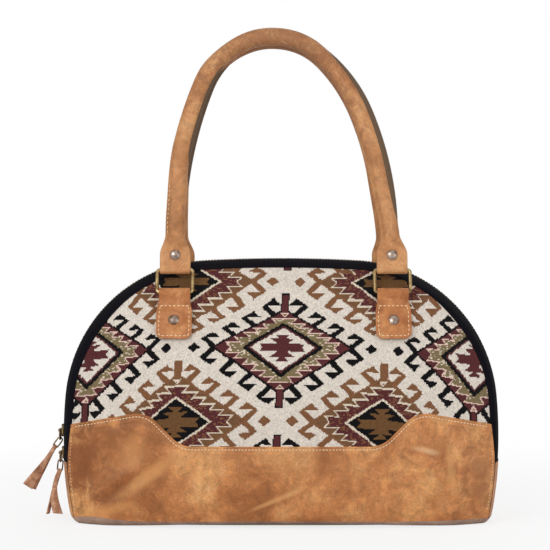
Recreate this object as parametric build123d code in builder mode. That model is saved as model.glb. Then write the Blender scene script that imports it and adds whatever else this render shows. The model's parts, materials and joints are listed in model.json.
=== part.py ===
from build123d import *
from math import asin, atan2, cos, degrees, hypot, radians, sin, sqrt
import os

os.makedirs("parts", exist_ok=True)

# A dome-shaped satchel. The origin is the middle of the bottom, on the surface it stands on.
# The front faces -Y, +X is to the right of someone looking at the front, and +Z is up.

# Outline of the dome, seen from the front: a side arc, a shoulder arc and a shallow top arc
HALF_WIDTH = 210.5
HEIGHT = 252.0
WIDEST_Z = 82.0
SIDE_RADIUS = 430.0
SIDE_RISE = 5.2
SIDE_DROP = 9.1
TOP_ANGLE = 3.2
FOOT_RADIUS = 60.0
FOOT_ANGLE = 40.0
SEAM_INSET = 8.0

# Fullness of the front and back, measured from the middle plane of the bag
BELLY = 82.0
BOTTOM_BELLY = 70.0
RIM_DEPTH = 22.0
SIDE_REACH = 1.06
SIDE_POWER = 3.0
SIDE_ROUND = 0.6
TOP_REACH = 1.0
TOP_POWER = 2.3
TOP_ROUND = 1.2

# How finely the curved surfaces are worked out, and how far they run on past the outline
GRID_STEP = 26.0
MARGIN = 16.0
STATIONS = 14
STRIP_OVERLAP = 1.08
DEEP = BELLY + 4 * SEAM_INSET

# Walls
CLOTH = 2.2
LEATHER = 3.2
LEATHER_PROUD = 1.0
LINING = 0.8
TAPE = 2.0
MOTIF = 0.3
BOTTOM = 2.5
BOARD = 2.0
FIT = 0.3

# Shaped top edge of the leather base
BASE_TOP = 77.0
BASE_FLAT = 93.0
BASE_PEAK_X = 126.0
BASE_PEAK = 109.0
BASE_SIDE = 93.0
BASE_CORNER = 11.0
BOTTOM_RISE = 6.0

# Woven design: diamonds in rows, each row half a pitch along from the next.
# Sizes are on the flat cloth; corners of a motif are across and up from its middle.
CLOTH_MIDDLE = 172.0
CLOTH_SKEW = 0.06
CLOTH_BOW = 2.6e-4
PITCH_X = 191.5
PITCH_Z = 69.5
DIAMOND = (66.5, 45.4)
DIAMOND_FRAME = 2.4
DIAMOND_BAND = 12.0
HEART = (38.0, 28.9)
HEART_FRAME = 3.3
STAR = [(21.6, 0), (5.4, 4.6), (0, 13.3)]
LOZENGE = (6.1, 5.2)
LOZENGE_SHIFT = 13.1

# Zip
ZIP_END = 57.0
TOOTH_PITCH = 6.0
TOOTH_LONG = 2.2
TOOTH_WIDE = 3.2
TOOTH_TALL = 2.4
TOOTH_PROUD = 0.6
TOOTH_MESH = 1.0
ZIP_GAP = TOOTH_WIDE - TOOTH_MESH

# Handle: two half arches that meet at the top, each of three tangent arcs
HANDLE_SHIFT = 2.4
HANDLE_HALF = 103.0
HANDLE_LEAN_LEFT = 11.1
HANDLE_TUBE = 18.5
HANDLE_BORE = 12.4
HANDLE_CORE = 12.0
HANDLE_RISE = 193.5
HANDLE_TOP_Y = -11.5
LEG_TURN = 22.0
SHOULDER_TURN = 50.0
CREST_RADIUS_LEFT = 62.0
CREST_RADIUS_RIGHT = 78.0
STRAP_WIDE = 29.3
STRAP_THICK = 5.0
STRAP_EDGE = 1.5
STRAP_RISE = 21.0
FLARE_RISE = 13.0

# Rings and the tabs that hold them
RING_WIDE = 37.0
RING_TALL = 26.0
RING_WIRE = 3.4
RING_CORNER = 4.5
RING_TILT = 22.0
RING_DROP = 32.1
RING_LOW_Z = HEIGHT - RING_DROP
RING_PLAY = 0.4
LOOP_WALL = 1.8
TAB_WIDE = 33.6
TAB_LONG = 43.0
TAB_LOW_Z = RING_LOW_Z - TAB_LONG
TAB_THICK = 3.6
TAB_CORNER = 6.0
RIVET_HEAD = 10.0
RIVET_RISE = 2.4
RIVET_SHANK = 3.0
TAB_RIVET_RISE = 17.1
TAB_RIVET_Z = TAB_LOW_Z + TAB_RIVET_RISE
STRAP_RIVET_RISE = 14.0

# Zip pulls
SLIDER_LONG = 12.0
SLIDER_WIDE = 9.4
SLIDER_ROOF = 1.8
SLIDER_CHEEK = 1.2
UPPER_SLIDER_Z = ZIP_END + 28.0
LOWER_SLIDER_Z = ZIP_END + 6.5
UPPER_SWING = 36.0
LOWER_SWING = 6.0
LUG_RISE = 1.9
LUG_WIDE = 2.4
BAIL_WIDE = 7.0
BAIL_LONG = 9.0
BAIL_WIRE = 1.6
BAIL_CORNER = 2.6
LINK_WIDE = 4.8
LINK_LONG = 11.0
LINK_WIRE = 1.4
PULL_LONG = 43.0
PULL_WIDE = 10.5
PULL_NECK = 2.4
PULL_SHOULDER = 4.0
PULL_THICK = 2.8
PULL_LOOP = 2.7


def arc_radii():
    """Shoulder and top radii that close the outline from the side arc to the top."""
    rise, top = radians(SIDE_RISE), radians(TOP_ANGLE)
    across = HALF_WIDTH - SIDE_RADIUS * (1 - cos(rise))
    up = HEIGHT - WIDEST_Z - SIDE_RADIUS * sin(rise)
    a, b = cos(rise) - sin(top), sin(top)
    c, d = cos(top) - sin(rise), 1 - cos(top)
    scale = a * d - b * c
    return (across * d - b * up) / scale, (a * up - c * across) / scale


SHOULDER_RADIUS, TOP_RADIUS = arc_radii()
SIDE_CENTRE = (HALF_WIDTH - SIDE_RADIUS, WIDEST_Z)
SHOULDER_CENTRE = (
    SIDE_CENTRE[0] + (SIDE_RADIUS - SHOULDER_RADIUS) * cos(radians(SIDE_RISE)),
    SIDE_CENTRE[1] + (SIDE_RADIUS - SHOULDER_RADIUS) * sin(radians(SIDE_RISE)),
)
TOP_CENTRE = (0.0, HEIGHT - TOP_RADIUS)
FOOT_CENTRE = (
    SIDE_CENTRE[0] + (SIDE_RADIUS - FOOT_RADIUS) * cos(radians(SIDE_DROP)),
    SIDE_CENTRE[1] - (SIDE_RADIUS - FOOT_RADIUS) * sin(radians(SIDE_DROP)),
)


def on_arc(centre, radius, angle):
    """Point of an arc in the outline's plane, at an angle above the horizontal."""
    return (centre[0] + radius * cos(radians(angle)), centre[1] + radius * sin(radians(angle)))


# The arcs of the right half, from the foot to the top: centre, radius, first and last angle
ARCS = [
    (FOOT_CENTRE, FOOT_RADIUS, -FOOT_ANGLE, -SIDE_DROP),
    (SIDE_CENTRE, SIDE_RADIUS, -SIDE_DROP, SIDE_RISE),
    (SHOULDER_CENTRE, SHOULDER_RADIUS, SIDE_RISE, 90 - TOP_ANGLE),
    (TOP_CENTRE, TOP_RADIUS, 90 - TOP_ANGLE, 90),
]


def outline_point(length):
    """Point and outward direction of the right half of the outline, at a length from the foot."""
    for centre, radius, low, high in ARCS:
        span = radius * radians(high - low)
        if length <= span or high == 90:
            angle = low + degrees(length / radius)
            return on_arc(centre, radius, angle), (cos(radians(angle)), sin(radians(angle)))
        length -= span


OUTLINE_LENGTH = sum(radius * radians(high - low) for _, radius, low, high in ARCS)


def width_at(z):
    """Half-width of the outline at a height at or below the widest one."""
    centre, radius, low, _ = ARCS[1]
    if z < on_arc(centre, radius, low)[1]:
        centre, radius, _, _ = ARCS[0]
    return centre[0] + sqrt(max(radius**2 - (z - centre[1]) ** 2, 0.0))


def reach(angle):
    """Distance from the widest level's middle to the outline, at an angle above the horizontal."""
    for centre, radius, _, high in ARCS[1:]:
        end = on_arc(centre, radius, high)
        if angle <= atan2(end[1] - WIDEST_Z, end[0]) or high == 90:
            across, up = centre[0], centre[1] - WIDEST_Z
            along = across * cos(angle) + up * sin(angle)
            return along + sqrt(radius**2 - across**2 - up**2 + along**2)


def fullness(share, edge, power, roundness):
    """1 in the middle of the bag, falling to its rim; it runs on straight past the outline."""
    inside = min(share, 1.0)
    left = 1 - (inside / edge) ** power
    if left <= 0:
        return 0.0
    slope = -roundness * power / edge * (inside / edge) ** (power - 1) * left ** (roundness - 1)
    return left**roundness + slope * (share - inside)


def depth(x, z):
    """How far the cloth of the front stands before the bag's middle plane."""
    up = z - WIDEST_Z
    belly = BELLY
    if up >= 0:
        angle = atan2(up, abs(x))
        share = hypot(x, up) / reach(angle)
        blend = sin(angle) ** 2
    else:
        share = abs(x) / width_at(z)
        blend = 0.0
        belly -= (BELLY - BOTTOM_BELLY) * (-up / WIDEST_Z) ** 3
    edge = SIDE_REACH + (TOP_REACH - SIDE_REACH) * blend
    power = SIDE_POWER + (TOP_POWER - SIDE_POWER) * blend
    roundness = SIDE_ROUND + (TOP_ROUND - SIDE_ROUND) * blend
    return RIM_DEPTH + (belly - RIM_DEPTH) * fullness(share, edge, power, roundness)


def outward(x, z):
    """Unit normal of the front, pointing away from the bag."""
    step = 0.5
    across = (depth(x + step, z) - depth(x - step, z)) / (2 * step)
    up = (depth(x, z + step) - depth(x, z - step)) / (2 * step)
    return Vector(-across, -1, -up).normalized()


def front_face(stand):
    """The front's surface as one smooth face, standing off the cloth's outer side by a distance along Y."""
    across = int((2 * HALF_WIDTH + 2 * MARGIN) / GRID_STEP)
    up = int((HEIGHT + 2 * MARGIN) / GRID_STEP)
    xs = [-HALF_WIDTH - MARGIN + (2 * HALF_WIDTH + 2 * MARGIN) * i / across for i in range(across + 1)]
    zs = [-MARGIN + (HEIGHT + 2 * MARGIN) * j / up for j in range(up + 1)]
    rows = [[Vector(x, -depth(x, z) - stand, z) for x in xs] for z in zs]
    return Face.make_surface_from_array_of_points(rows, tol=0.05, min_deg=3, max_deg=3)


def dome_edge(inset):
    """Closed edge of the dome in the outline's plane, moved inwards."""
    ends = []
    for centre, radius, low, high in ARCS:
        ends.append((on_arc(centre, radius - inset, low), on_arc(centre, radius - inset, (low + high) / 2)))
    crown = (0.0, HEIGHT - inset)
    stops = [end for end, _ in ends[1:]] + [crown]
    for (start, middle), stop in zip(ends, stops):
        ThreePointArc(start, middle, stop)
        ThreePointArc((-start[0], start[1]), (-middle[0], middle[1]), (-stop[0], stop[1]))
    foot = ends[0][0]
    Line((-foot[0], foot[1]), foot)


def leather_edge(z_low):
    """Closed edge of the leather base below its shaped top edge."""
    wide = HALF_WIDTH + MARGIN
    slope = (BASE_PEAK - BASE_SIDE) / (HALF_WIDTH - BASE_PEAK_X)
    side = BASE_SIDE - slope * MARGIN
    top = FilletPolyline(
        (-wide, side),
        (-BASE_PEAK_X, BASE_PEAK),
        (-BASE_FLAT, BASE_TOP),
        (BASE_FLAT, BASE_TOP),
        (BASE_PEAK_X, BASE_PEAK),
        (wide, side),
        radius=BASE_CORNER,
    )
    Polyline(top @ 1, (wide, z_low), (-wide, z_low), top @ 0)


def finish(block, label):
    block.part.label = label
    export_step(block.part, f"parts/{label}.step")


def front_and_back(block, label):
    """Keep a front piece, and write its mirror image as the back one."""
    finish(block, f"{label}_front")
    with BuildPart() as behind:
        add(mirror(block.part, about=Plane.XZ, mode=Mode.PRIVATE))
    finish(behind, f"{label}_back")


# Woven panels: the dome above the leather's edge
with BuildPart() as panel:
    extrude(front_face(0), amount=CLOTH, dir=(0, 1, 0))
    with BuildSketch(Plane.XZ):
        with BuildLine():
            dome_edge(SEAM_INSET)
        make_face()
        with BuildLine():
            leather_edge(-MARGIN)
        make_face(mode=Mode.SUBTRACT)
    extrude(amount=DEEP, mode=Mode.INTERSECT)
front_and_back(panel, "panel")



def cloth_point(u, v):
    """Place on the front, as x and z, of a point of the flat cloth that is stretched over it."""
    x, z, step, walk = 0.0, CLOTH_MIDDLE, 0.5, 16
    across, up = (u + CLOTH_SKEW * v) / walk, (v - CLOTH_BOW * u**2) / walk
    for _ in range(walk):
        slope_x = (depth(x + step, z) - depth(x - step, z)) / (2 * step)
        slope_z = (depth(x, z + step) - depth(x, z - step)) / (2 * step)
        x += across / hypot(1, slope_x)
        z += up / hypot(1, slope_z)
    return x, z


def patch(middle, *loops):
    """Face of one motif about its middle: an outer loop, and loops of holes in it."""
    wires = [
        Wire.make_polygon([Vector(*cloth_point(middle[0] + u, middle[1] + v)) for u, v in loop])
        for loop in loops
    ]
    return Face(wires[0], wires[1:])


def all_round(quarter):
    """Closed loop of a quarter outline, which runs from the level axis to the upright one."""
    left = [(-u, v) for u, v in quarter[-2::-1]]
    return quarter + left + [(u, -v) for u, v in left[-2::-1]] + [(u, -v) for u, v in quarter[-1:0:-1]]


def diamond(size, inset=0.0):
    """Loop of a diamond, moved inwards."""
    scale = 1 - inset * hypot(1 / size[0], 1 / size[1])
    return all_round([(size[0] * scale, 0), (0, size[1] * scale)])


def lozenges(middle):
    """Faces of the two small diamonds to the right of a medallion, half-way to the next one."""
    return [
        patch((middle[0] + PITCH_X / 2 + side * LOZENGE_SHIFT, middle[1]), diamond(LOZENGE)) for side in (-1, 1)
    ]


# Woven motifs: thin inlays on the cloth, one part for each colour of yarn. Black medallions stand
# in the middle row and in every second one from it; brown ones stand between them.
BLACK_MIDDLES = [(0, 0), (-PITCH_X, 0), (PITCH_X, 0)]
BROWN_MIDDLES = [(side * PITCH_X / 2, row * PITCH_Z) for side in (-1, 1) for row in (-1, 1)]
YARNS = {"black": [], "brown": [], "maroon": [], "olive": []}
for at in BLACK_MIDDLES:
    frame = patch(at, diamond(DIAMOND), diamond(DIAMOND, DIAMOND_FRAME))
    YARNS["black"] += [frame, patch(at, diamond(HEART), diamond(HEART, HEART_FRAME))] + lozenges(at)
    YARNS["maroon"] += [
        patch(at, diamond(DIAMOND, DIAMOND_FRAME), diamond(DIAMOND, DIAMOND_BAND)), patch(at, all_round(STAR))
    ]
    YARNS["olive"].append(patch(at, diamond(DIAMOND, DIAMOND_BAND), diamond(HEART)))
for at in BROWN_MIDDLES:
    YARNS["brown"] += [patch(at, diamond(DIAMOND), diamond(DIAMOND, DIAMOND_FRAME)), patch(at, all_round(STAR))]
    YARNS["brown"] += lozenges(at)
    YARNS["olive"].append(patch(at, diamond(DIAMOND, DIAMOND_FRAME), diamond(DIAMOND, DIAMOND_BAND)))
    YARNS["maroon"].append(patch(at, diamond(DIAMOND, DIAMOND_BAND), diamond(HEART)))
    YARNS["black"].append(patch(at, diamond(HEART, HEART_FRAME), all_round(STAR)))

with BuildPart() as weave:
    extrude(front_face(MOTIF), amount=MOTIF - FIT / 10, dir=(0, 1, 0))
    with BuildSketch(Plane.XZ):
        with BuildLine():
            dome_edge(SEAM_INSET)
        make_face()
        with BuildLine():
            leather_edge(-MARGIN)
        make_face(mode=Mode.SUBTRACT)
    extrude(amount=DEEP, mode=Mode.INTERSECT)

for colour, faces in YARNS.items():
    with BuildPart() as motif:
        with BuildSketch(Plane.XZ):
            add(faces)
        extrude(amount=DEEP)
        add(weave.part, mode=Mode.INTERSECT)
    front_and_back(motif, f"motif_{colour}")

# Leather base: below the shaped edge, a little proud of the cloth
with BuildPart() as base:
    extrude(front_face(LEATHER_PROUD), amount=LEATHER, dir=(0, 1, 0))
    with BuildSketch(Plane.XZ):
        with BuildLine():
            dome_edge(SEAM_INSET)
        make_face()
        with BuildLine():
            leather_edge(BOTTOM_RISE)
        make_face(mode=Mode.INTERSECT)
    extrude(amount=DEEP, mode=Mode.INTERSECT)
front_and_back(base, "base")

# Lining behind the panel and the base
with BuildPart() as lining:
    extrude(front_face(-CLOTH), amount=LINING, dir=(0, 1, 0))
    with BuildSketch(Plane.XZ):
        with BuildLine():
            dome_edge(SEAM_INSET + LINING)
        make_face()
        with Locations((0, BOTTOM_RISE)):
            Rectangle(2 * HALF_WIDTH, HEIGHT, align=(Align.CENTER, Align.MIN), mode=Mode.INTERSECT)
    extrude(amount=DEEP, mode=Mode.INTERSECT)
front_and_back(lining, "lining")


# Crowned strip that runs round the dome from one foot to the other, as a loft of curved sections
with BuildPart() as strip:
    for station in range(-STATIONS, STATIONS + 1):
        (x, z), (out_x, out_z) = outline_point(OUTLINE_LENGTH * (1 - abs(station) / STATIONS))
        rim = depth(x - SEAM_INSET * out_x, z - SEAM_INSET * out_z) * STRIP_OVERLAP
        fall = SEAM_INSET * STRIP_OVERLAP**2
        side = 1 if station > 0 else -1
        across = Plane(origin=(side * x, 0, z), x_dir=(0, 1, 0), z_dir=(out_z, 0, -side * out_x))
        with BuildSketch(across):
            with BuildLine():
                outer = ThreePointArc((-rim, -fall), (0, 0), (rim, -fall))
                inner = ThreePointArc((-rim, -fall - TAPE), (0, -TAPE), (rim, -fall - TAPE))
                Line(outer @ 0, inner @ 0)
                Line(outer @ 1, inner @ 1)
            make_face()
    loft()

# Zip tape: the strip above the zip's end, with a slot along the middle for the teeth
with BuildPart() as tape:
    add(strip.part)
    with BuildSketch(Plane.XZ.offset(ZIP_GAP)):
        with Locations((0, ZIP_END)):
            Rectangle(3 * HALF_WIDTH, HEIGHT, align=(Align.CENTER, Align.MIN))
        with BuildLine():
            dome_edge(SEAM_INSET)
        make_face(mode=Mode.SUBTRACT)
    extrude(amount=DEEP, mode=Mode.INTERSECT)
front_and_back(tape, "zip_tape")

# Side gussets: the strip below the zip's ends, down to the bottom panel
for side, name in ((-1, "left"), (1, "right")):
    with BuildPart() as gusset:
        add(strip.part)
        with BuildSketch(Plane.XZ):
            with Locations((side * HALF_WIDTH, BOTTOM_RISE)):
                Rectangle(HALF_WIDTH, ZIP_END - BOTTOM_RISE, align=(Align.CENTER, Align.MIN))
            with BuildLine():
                dome_edge(SEAM_INSET)
            make_face(mode=Mode.SUBTRACT)
        extrude(amount=DEEP, both=True, mode=Mode.INTERSECT)
    finish(gusset, f"side_gusset_{name}")


def side_length(z):
    """Length along the right half of the outline from the foot to a height on the side arc."""
    angle = degrees(asin((z - WIDEST_Z) / SIDE_RADIUS))
    return FOOT_RADIUS * radians(FOOT_ANGLE - SIDE_DROP) + SIDE_RADIUS * radians(angle + SIDE_DROP)


def outline_plane(length):
    """Plane on the whole outline, from the left foot: X runs along it, Z points out of the bag."""
    right = length > OUTLINE_LENGTH
    (x, z), (out_x, out_z) = outline_point(2 * OUTLINE_LENGTH - length if right else length)
    if not right:
        x, out_x = -x, -out_x
    return Plane(origin=(x, 0, z), x_dir=(out_z, 0, -out_x), z_dir=(out_x, 0, out_z))


# Zip teeth: one row on each tape, meshed with the other all round the dome
ZIP_START = side_length(ZIP_END)
TEETH = int((2 * OUTLINE_LENGTH - 2 * ZIP_START) / TOOTH_PITCH)
for side, name in ((-1, "front"), (1, "back")):
    shift = ZIP_START + TOOTH_PITCH * (0.25 if side < 0 else 0.75)
    middle_y = side * (ZIP_GAP - TOOTH_WIDE / 2)
    spots = [outline_plane(shift + TOOTH_PITCH * i) for i in range(TEETH)]
    with BuildPart() as teeth:
        with Locations(*[spot.location for spot in spots]):
            with Locations((0, middle_y, TOOTH_PROUD)):
                Box(TOOTH_LONG, TOOTH_WIDE, TOOTH_TALL, align=(Align.CENTER, Align.CENTER, Align.MAX))
    finish(teeth, f"zip_teeth_{name}")


def plan_edge(z, inset):
    """Closed edge of the bag seen from above, at a height, moved inwards."""
    seam = width_at(z) - SEAM_INSET
    points = 8
    xs = [seam * (2 * i / points - 1) for i in range(points + 1)]
    scale = (seam - inset) / seam
    front = [(x * scale, -(depth(x, z) + LEATHER_PROUD - inset)) for x in xs]
    back = [(x, -y) for x, y in front]
    crown = width_at(z) - inset
    Spline(*front)
    ThreePointArc(front[-1], (crown, 0), back[-1])
    Spline(*reversed(back))
    ThreePointArc(back[0], (-crown, 0), front[0])


# Bottom panel: a shallow tray of leather that rolls up to the seam
with BuildPart() as bottom:
    for z, inset in ((0, BOTTOM_RISE), (BOTTOM_RISE / 3, BOTTOM_RISE / 3), (BOTTOM_RISE, 0)):
        with BuildSketch(Plane.XY.offset(z)):
            with BuildLine():
                plan_edge(BOTTOM_RISE, inset)
            make_face()
    loft(ruled=True)
    with BuildSketch(Plane.XY.offset(BOTTOM)):
        with BuildLine():
            plan_edge(BOTTOM_RISE, BOTTOM + LEATHER_PROUD)
        make_face()
    extrude(amount=BOTTOM_RISE, mode=Mode.SUBTRACT)
finish(bottom, "bottom_panel")

with BuildPart() as board:
    with BuildSketch(Plane.XY.offset(BOTTOM)):
        with BuildLine():
            plan_edge(BOTTOM_RISE, 2 * BOTTOM + LEATHER_PROUD)
        make_face()
    extrude(amount=BOARD)
finish(board, "base_board")


# Tabs, rings and handle are placed from the lower bar of the ring, level on both sides
LOOP_RADIUS = RING_WIRE / 2 + RING_PLAY + LOOP_WALL
TAB_X = (HANDLE_SHIFT - HANDLE_HALF, HANDLE_SHIFT + HANDLE_HALF)
STAND = max(
    depth(abs(x) - STRAP_WIDE / 2, RING_LOW_Z) - (LOOP_RADIUS + MOTIF + FIT) / outward(x, RING_LOW_Z).Y
    for x in TAB_X
)
RING_LOW = Vector(0, -STAND, RING_LOW_Z)
RING_BARS = RING_TALL - RING_WIRE
RING_HIGH = RING_LOW + Vector(0, sin(radians(RING_TILT)), cos(radians(RING_TILT))) * RING_BARS
ARM = STRAP_RISE + FLARE_RISE + HANDLE_RISE
LEAN = asin((HANDLE_TOP_Y - RING_HIGH.Y) / ARM)
HANDLE_PLANE = Plane(
    origin=(HANDLE_SHIFT, RING_HIGH.Y, RING_HIGH.Z), x_dir=(1, 0, 0), z_dir=(0, -cos(LEAN), sin(LEAN))
)


def rivet_profile(plane, grip, head):
    """Half section of a domed rivet: the plane's X lies on the leather and its Y points out of it."""
    shoulder = 0.25 * RIVET_RISE
    dome = RIVET_RISE - shoulder
    radius = (head**2 / 4 + dome**2) / (2 * dome)
    half = asin(head / 2 / radius) / 2
    with BuildSketch(plane) as profile:
        with BuildLine():
            Polyline(
                (0, RIVET_RISE), (0, -grip), (RIVET_SHANK / 2, -grip), (RIVET_SHANK / 2, 0), (head / 2, 0),
                (head / 2, shoulder),
            )
            ThreePointArc(
                (head / 2, shoulder), (radius * sin(half), RIVET_RISE - radius * (1 - cos(half))), (0, RIVET_RISE)
            )
        make_face()
    return profile.sketch


def tab_rivet_plane(x):
    normal = outward(x, TAB_RIVET_Z)
    across = Vector(1, 0, 0)
    across = (across - normal * across.dot(normal)).normalized()
    spot = Vector(x, -depth(x, TAB_RIVET_Z) - MOTIF - TAB_THICK, TAB_RIVET_Z)
    return Plane(origin=spot, x_dir=across, z_dir=across.cross(normal))


SHANK_HOLE = RIVET_SHANK / 2 + FIT / 3
for x, name in zip(TAB_X, ("left", "right")):
    spot = tab_rivet_plane(x)
    with BuildPart() as tab:
        extrude(front_face(MOTIF + TAB_THICK), amount=TAB_THICK, dir=(0, 1, 0))
        with BuildSketch(Plane.XZ) as region:
            with BuildLine():
                half, narrow = TAB_WIDE / 2, STRAP_WIDE / 2
                neck = RING_LOW_Z - 2 * LOOP_RADIUS
                right = [(narrow, RING_LOW_Z), (narrow, neck), (half, neck - LOOP_RADIUS), (half, TAB_LOW_Z)]
                left = [(-u, v) for u, v in reversed(right)]
                Polyline(*[(x + u, v) for u, v in right + left], close=True)
            make_face()
            fillet(region.vertices().group_by(Axis.Y)[0], TAB_CORNER)
        extrude(amount=DEEP, mode=Mode.INTERSECT)
        with BuildSketch(Plane.YZ.offset(x - narrow)):
            with Locations((RING_LOW.Y, RING_LOW.Z)):
                Circle(LOOP_RADIUS)
        extrude(amount=STRAP_WIDE)
        with BuildSketch(Plane.YZ.offset(x - half)):
            with Locations((RING_LOW.Y, RING_LOW.Z)):
                Circle(LOOP_RADIUS - LOOP_WALL)
        extrude(amount=TAB_WIDE, mode=Mode.SUBTRACT)
        with BuildSketch(Plane(origin=spot.origin, x_dir=spot.x_dir, z_dir=spot.y_dir)):
            Circle(SHANK_HOLE)
        extrude(amount=2 * TAB_THICK, both=True, mode=Mode.SUBTRACT)
    front_and_back(tab, f"tab_{name}")

    with BuildPart() as stud:
        grip = -TAB_THICK * outward(x, TAB_RIVET_Z).Y
        revolve(rivet_profile(spot, grip, RIVET_HEAD), axis=Axis(spot.origin, spot.y_dir))
    front_and_back(stud, f"tab_rivet_{name}")

    tilt = radians(RING_TILT)
    ring_plane = Plane(
        origin=((x, RING_LOW.Y, RING_LOW.Z)), x_dir=(1, 0, 0), z_dir=(0, -cos(tilt), sin(tilt))
    )
    with BuildPart() as ring:
        with BuildLine(ring_plane) as path:
            half = (RING_WIDE - RING_WIRE) / 2
            FilletPolyline(
                (-half, 0), (half, 0), (half, RING_BARS), (-half, RING_BARS),
                close=True, radius=RING_CORNER - RING_WIRE / 2,
            )
        with BuildSketch(Plane(origin=path.line @ 0, z_dir=path.line % 0)):
            Circle(RING_WIRE / 2)
        sweep()
    front_and_back(ring, f"ring_{name}")


def half_arch(across, crest):
    """Leg and shoulder radii that carry the arch from a foot to its top with the given crest radius."""
    leg, shoulder = radians(LEG_TURN), radians(SHOULDER_TURN)
    a, b = 1 - cos(leg), cos(leg) - cos(shoulder)
    c, d = sin(leg), sin(shoulder) - sin(leg)
    e = across - crest * cos(shoulder)
    f = HANDLE_RISE - crest * (1 - sin(shoulder))
    scale = a * d - b * c
    return (e * d - b * f) / scale, (a * f - c * e) / scale


def handle_path():
    """Centreline of the rolled handle in its own plane, from the left foot to the right one."""
    foot = STRAP_RISE + FLARE_RISE
    left = half_arch(HANDLE_HALF - HANDLE_LEAN_LEFT, CREST_RADIUS_LEFT)
    right = half_arch(HANDLE_HALF + HANDLE_LEAN_LEFT, CREST_RADIUS_RIGHT)
    crest_turn = 90 - SHOULDER_TURN
    middle_turn = SHOULDER_TURN - LEG_TURN
    turns = [(left[0], LEG_TURN), (left[1], middle_turn), (CREST_RADIUS_LEFT, crest_turn)]
    turns += [(CREST_RADIUS_RIGHT, crest_turn), (right[1], middle_turn), (right[0], LEG_TURN)]
    start, tangent = (-HANDLE_HALF, foot), (0, 1)
    for radius, turn in turns:
        arc = JernArc(start=start, tangent=tangent, radius=radius, arc_size=-turn)
        start, tangent = arc @ 1, arc % 1
    return arc


def strap_rivet_plane(side):
    """Plane of a rivet on the front of a handle's flat end."""
    spot = HANDLE_PLANE.from_local_coords((side * HANDLE_HALF, STRAP_RIVET_RISE, STRAP_THICK / 2))
    return Plane(origin=spot, x_dir=(1, 0, 0), z_dir=Vector(1, 0, 0).cross(HANDLE_PLANE.z_dir))


with BuildPart() as cover:
    with BuildLine(HANDLE_PLANE) as path:
        handle_path()
    start = Plane(origin=path.wire() @ 0, z_dir=path.wire() % 0)
    with BuildSketch(start):
        Circle(HANDLE_TUBE / 2)
    sweep()
    for side in (-1, 1):
        foot = HANDLE_PLANE.from_local_coords((side * HANDLE_HALF, 0, 0))
        up = HANDLE_PLANE.y_dir
        with BuildSketch(Plane(origin=foot + up * STRAP_RISE, x_dir=(1, 0, 0), z_dir=up)) as strap:
            RectangleRounded(STRAP_WIDE, STRAP_THICK, STRAP_EDGE)
        with BuildSketch(Plane(origin=foot + up * (STRAP_RISE + FLARE_RISE), x_dir=(1, 0, 0), z_dir=up)):
            Circle(HANDLE_TUBE / 2)
        loft()
        extrude(strap.sketch, amount=-STRAP_RISE)
        with BuildSketch(Plane.YZ.offset(foot.X - STRAP_WIDE / 2)):
            with Locations((foot.Y, foot.Z)):
                Circle(LOOP_RADIUS)
        extrude(amount=STRAP_WIDE)
        with BuildSketch(Plane.YZ.offset(foot.X - STRAP_WIDE)):
            with Locations((foot.Y, foot.Z)):
                Circle(LOOP_RADIUS - LOOP_WALL)
        extrude(amount=2 * STRAP_WIDE, mode=Mode.SUBTRACT)
        spot = strap_rivet_plane(side)
        with BuildSketch(Plane(origin=spot.origin, x_dir=spot.x_dir, z_dir=spot.y_dir)):
            Circle(SHANK_HOLE)
        extrude(amount=2 * STRAP_THICK, both=True, mode=Mode.SUBTRACT)
    with BuildSketch(start):
        Circle(HANDLE_BORE / 2)
    sweep(path=path.wire(), mode=Mode.SUBTRACT)
front_and_back(cover, "handle")

for side, name in ((-1, "left"), (1, "right")):
    spot = strap_rivet_plane(side)
    with BuildPart() as stud:
        revolve(rivet_profile(spot, STRAP_THICK, RIVET_HEAD), axis=Axis(spot.origin, spot.y_dir))
    front_and_back(stud, f"strap_rivet_{name}")

with BuildPart() as core:
    with BuildLine(HANDLE_PLANE) as path:
        handle_path()
    with BuildSketch(Plane(origin=path.wire() @ 0, z_dir=path.wire() % 0)):
        Circle(HANDLE_CORE / 2)
    sweep()
front_and_back(core, "handle_core")


def slider_plane(z):
    """Plane on the zip at the left side: X runs up the zip, Y goes back and Z points out of the bag."""
    return outline_plane(side_length(z))


def wire_loop(plane, wide, long, wire, corner):
    """Path of a rounded wire loop that hangs from the plane's origin along its -Y, and its start plane."""
    with BuildLine(plane) as path:
        FilletPolyline(
            (-wide / 2, 0), (wide / 2, 0), (wide / 2, -long), (-wide / 2, -long), close=True, radius=corner
        )
    with BuildSketch(Plane(origin=path.line @ 0, z_dir=path.line % 0)) as section:
        Circle(wire / 2)
    return section.sketch, path.wire()


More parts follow.
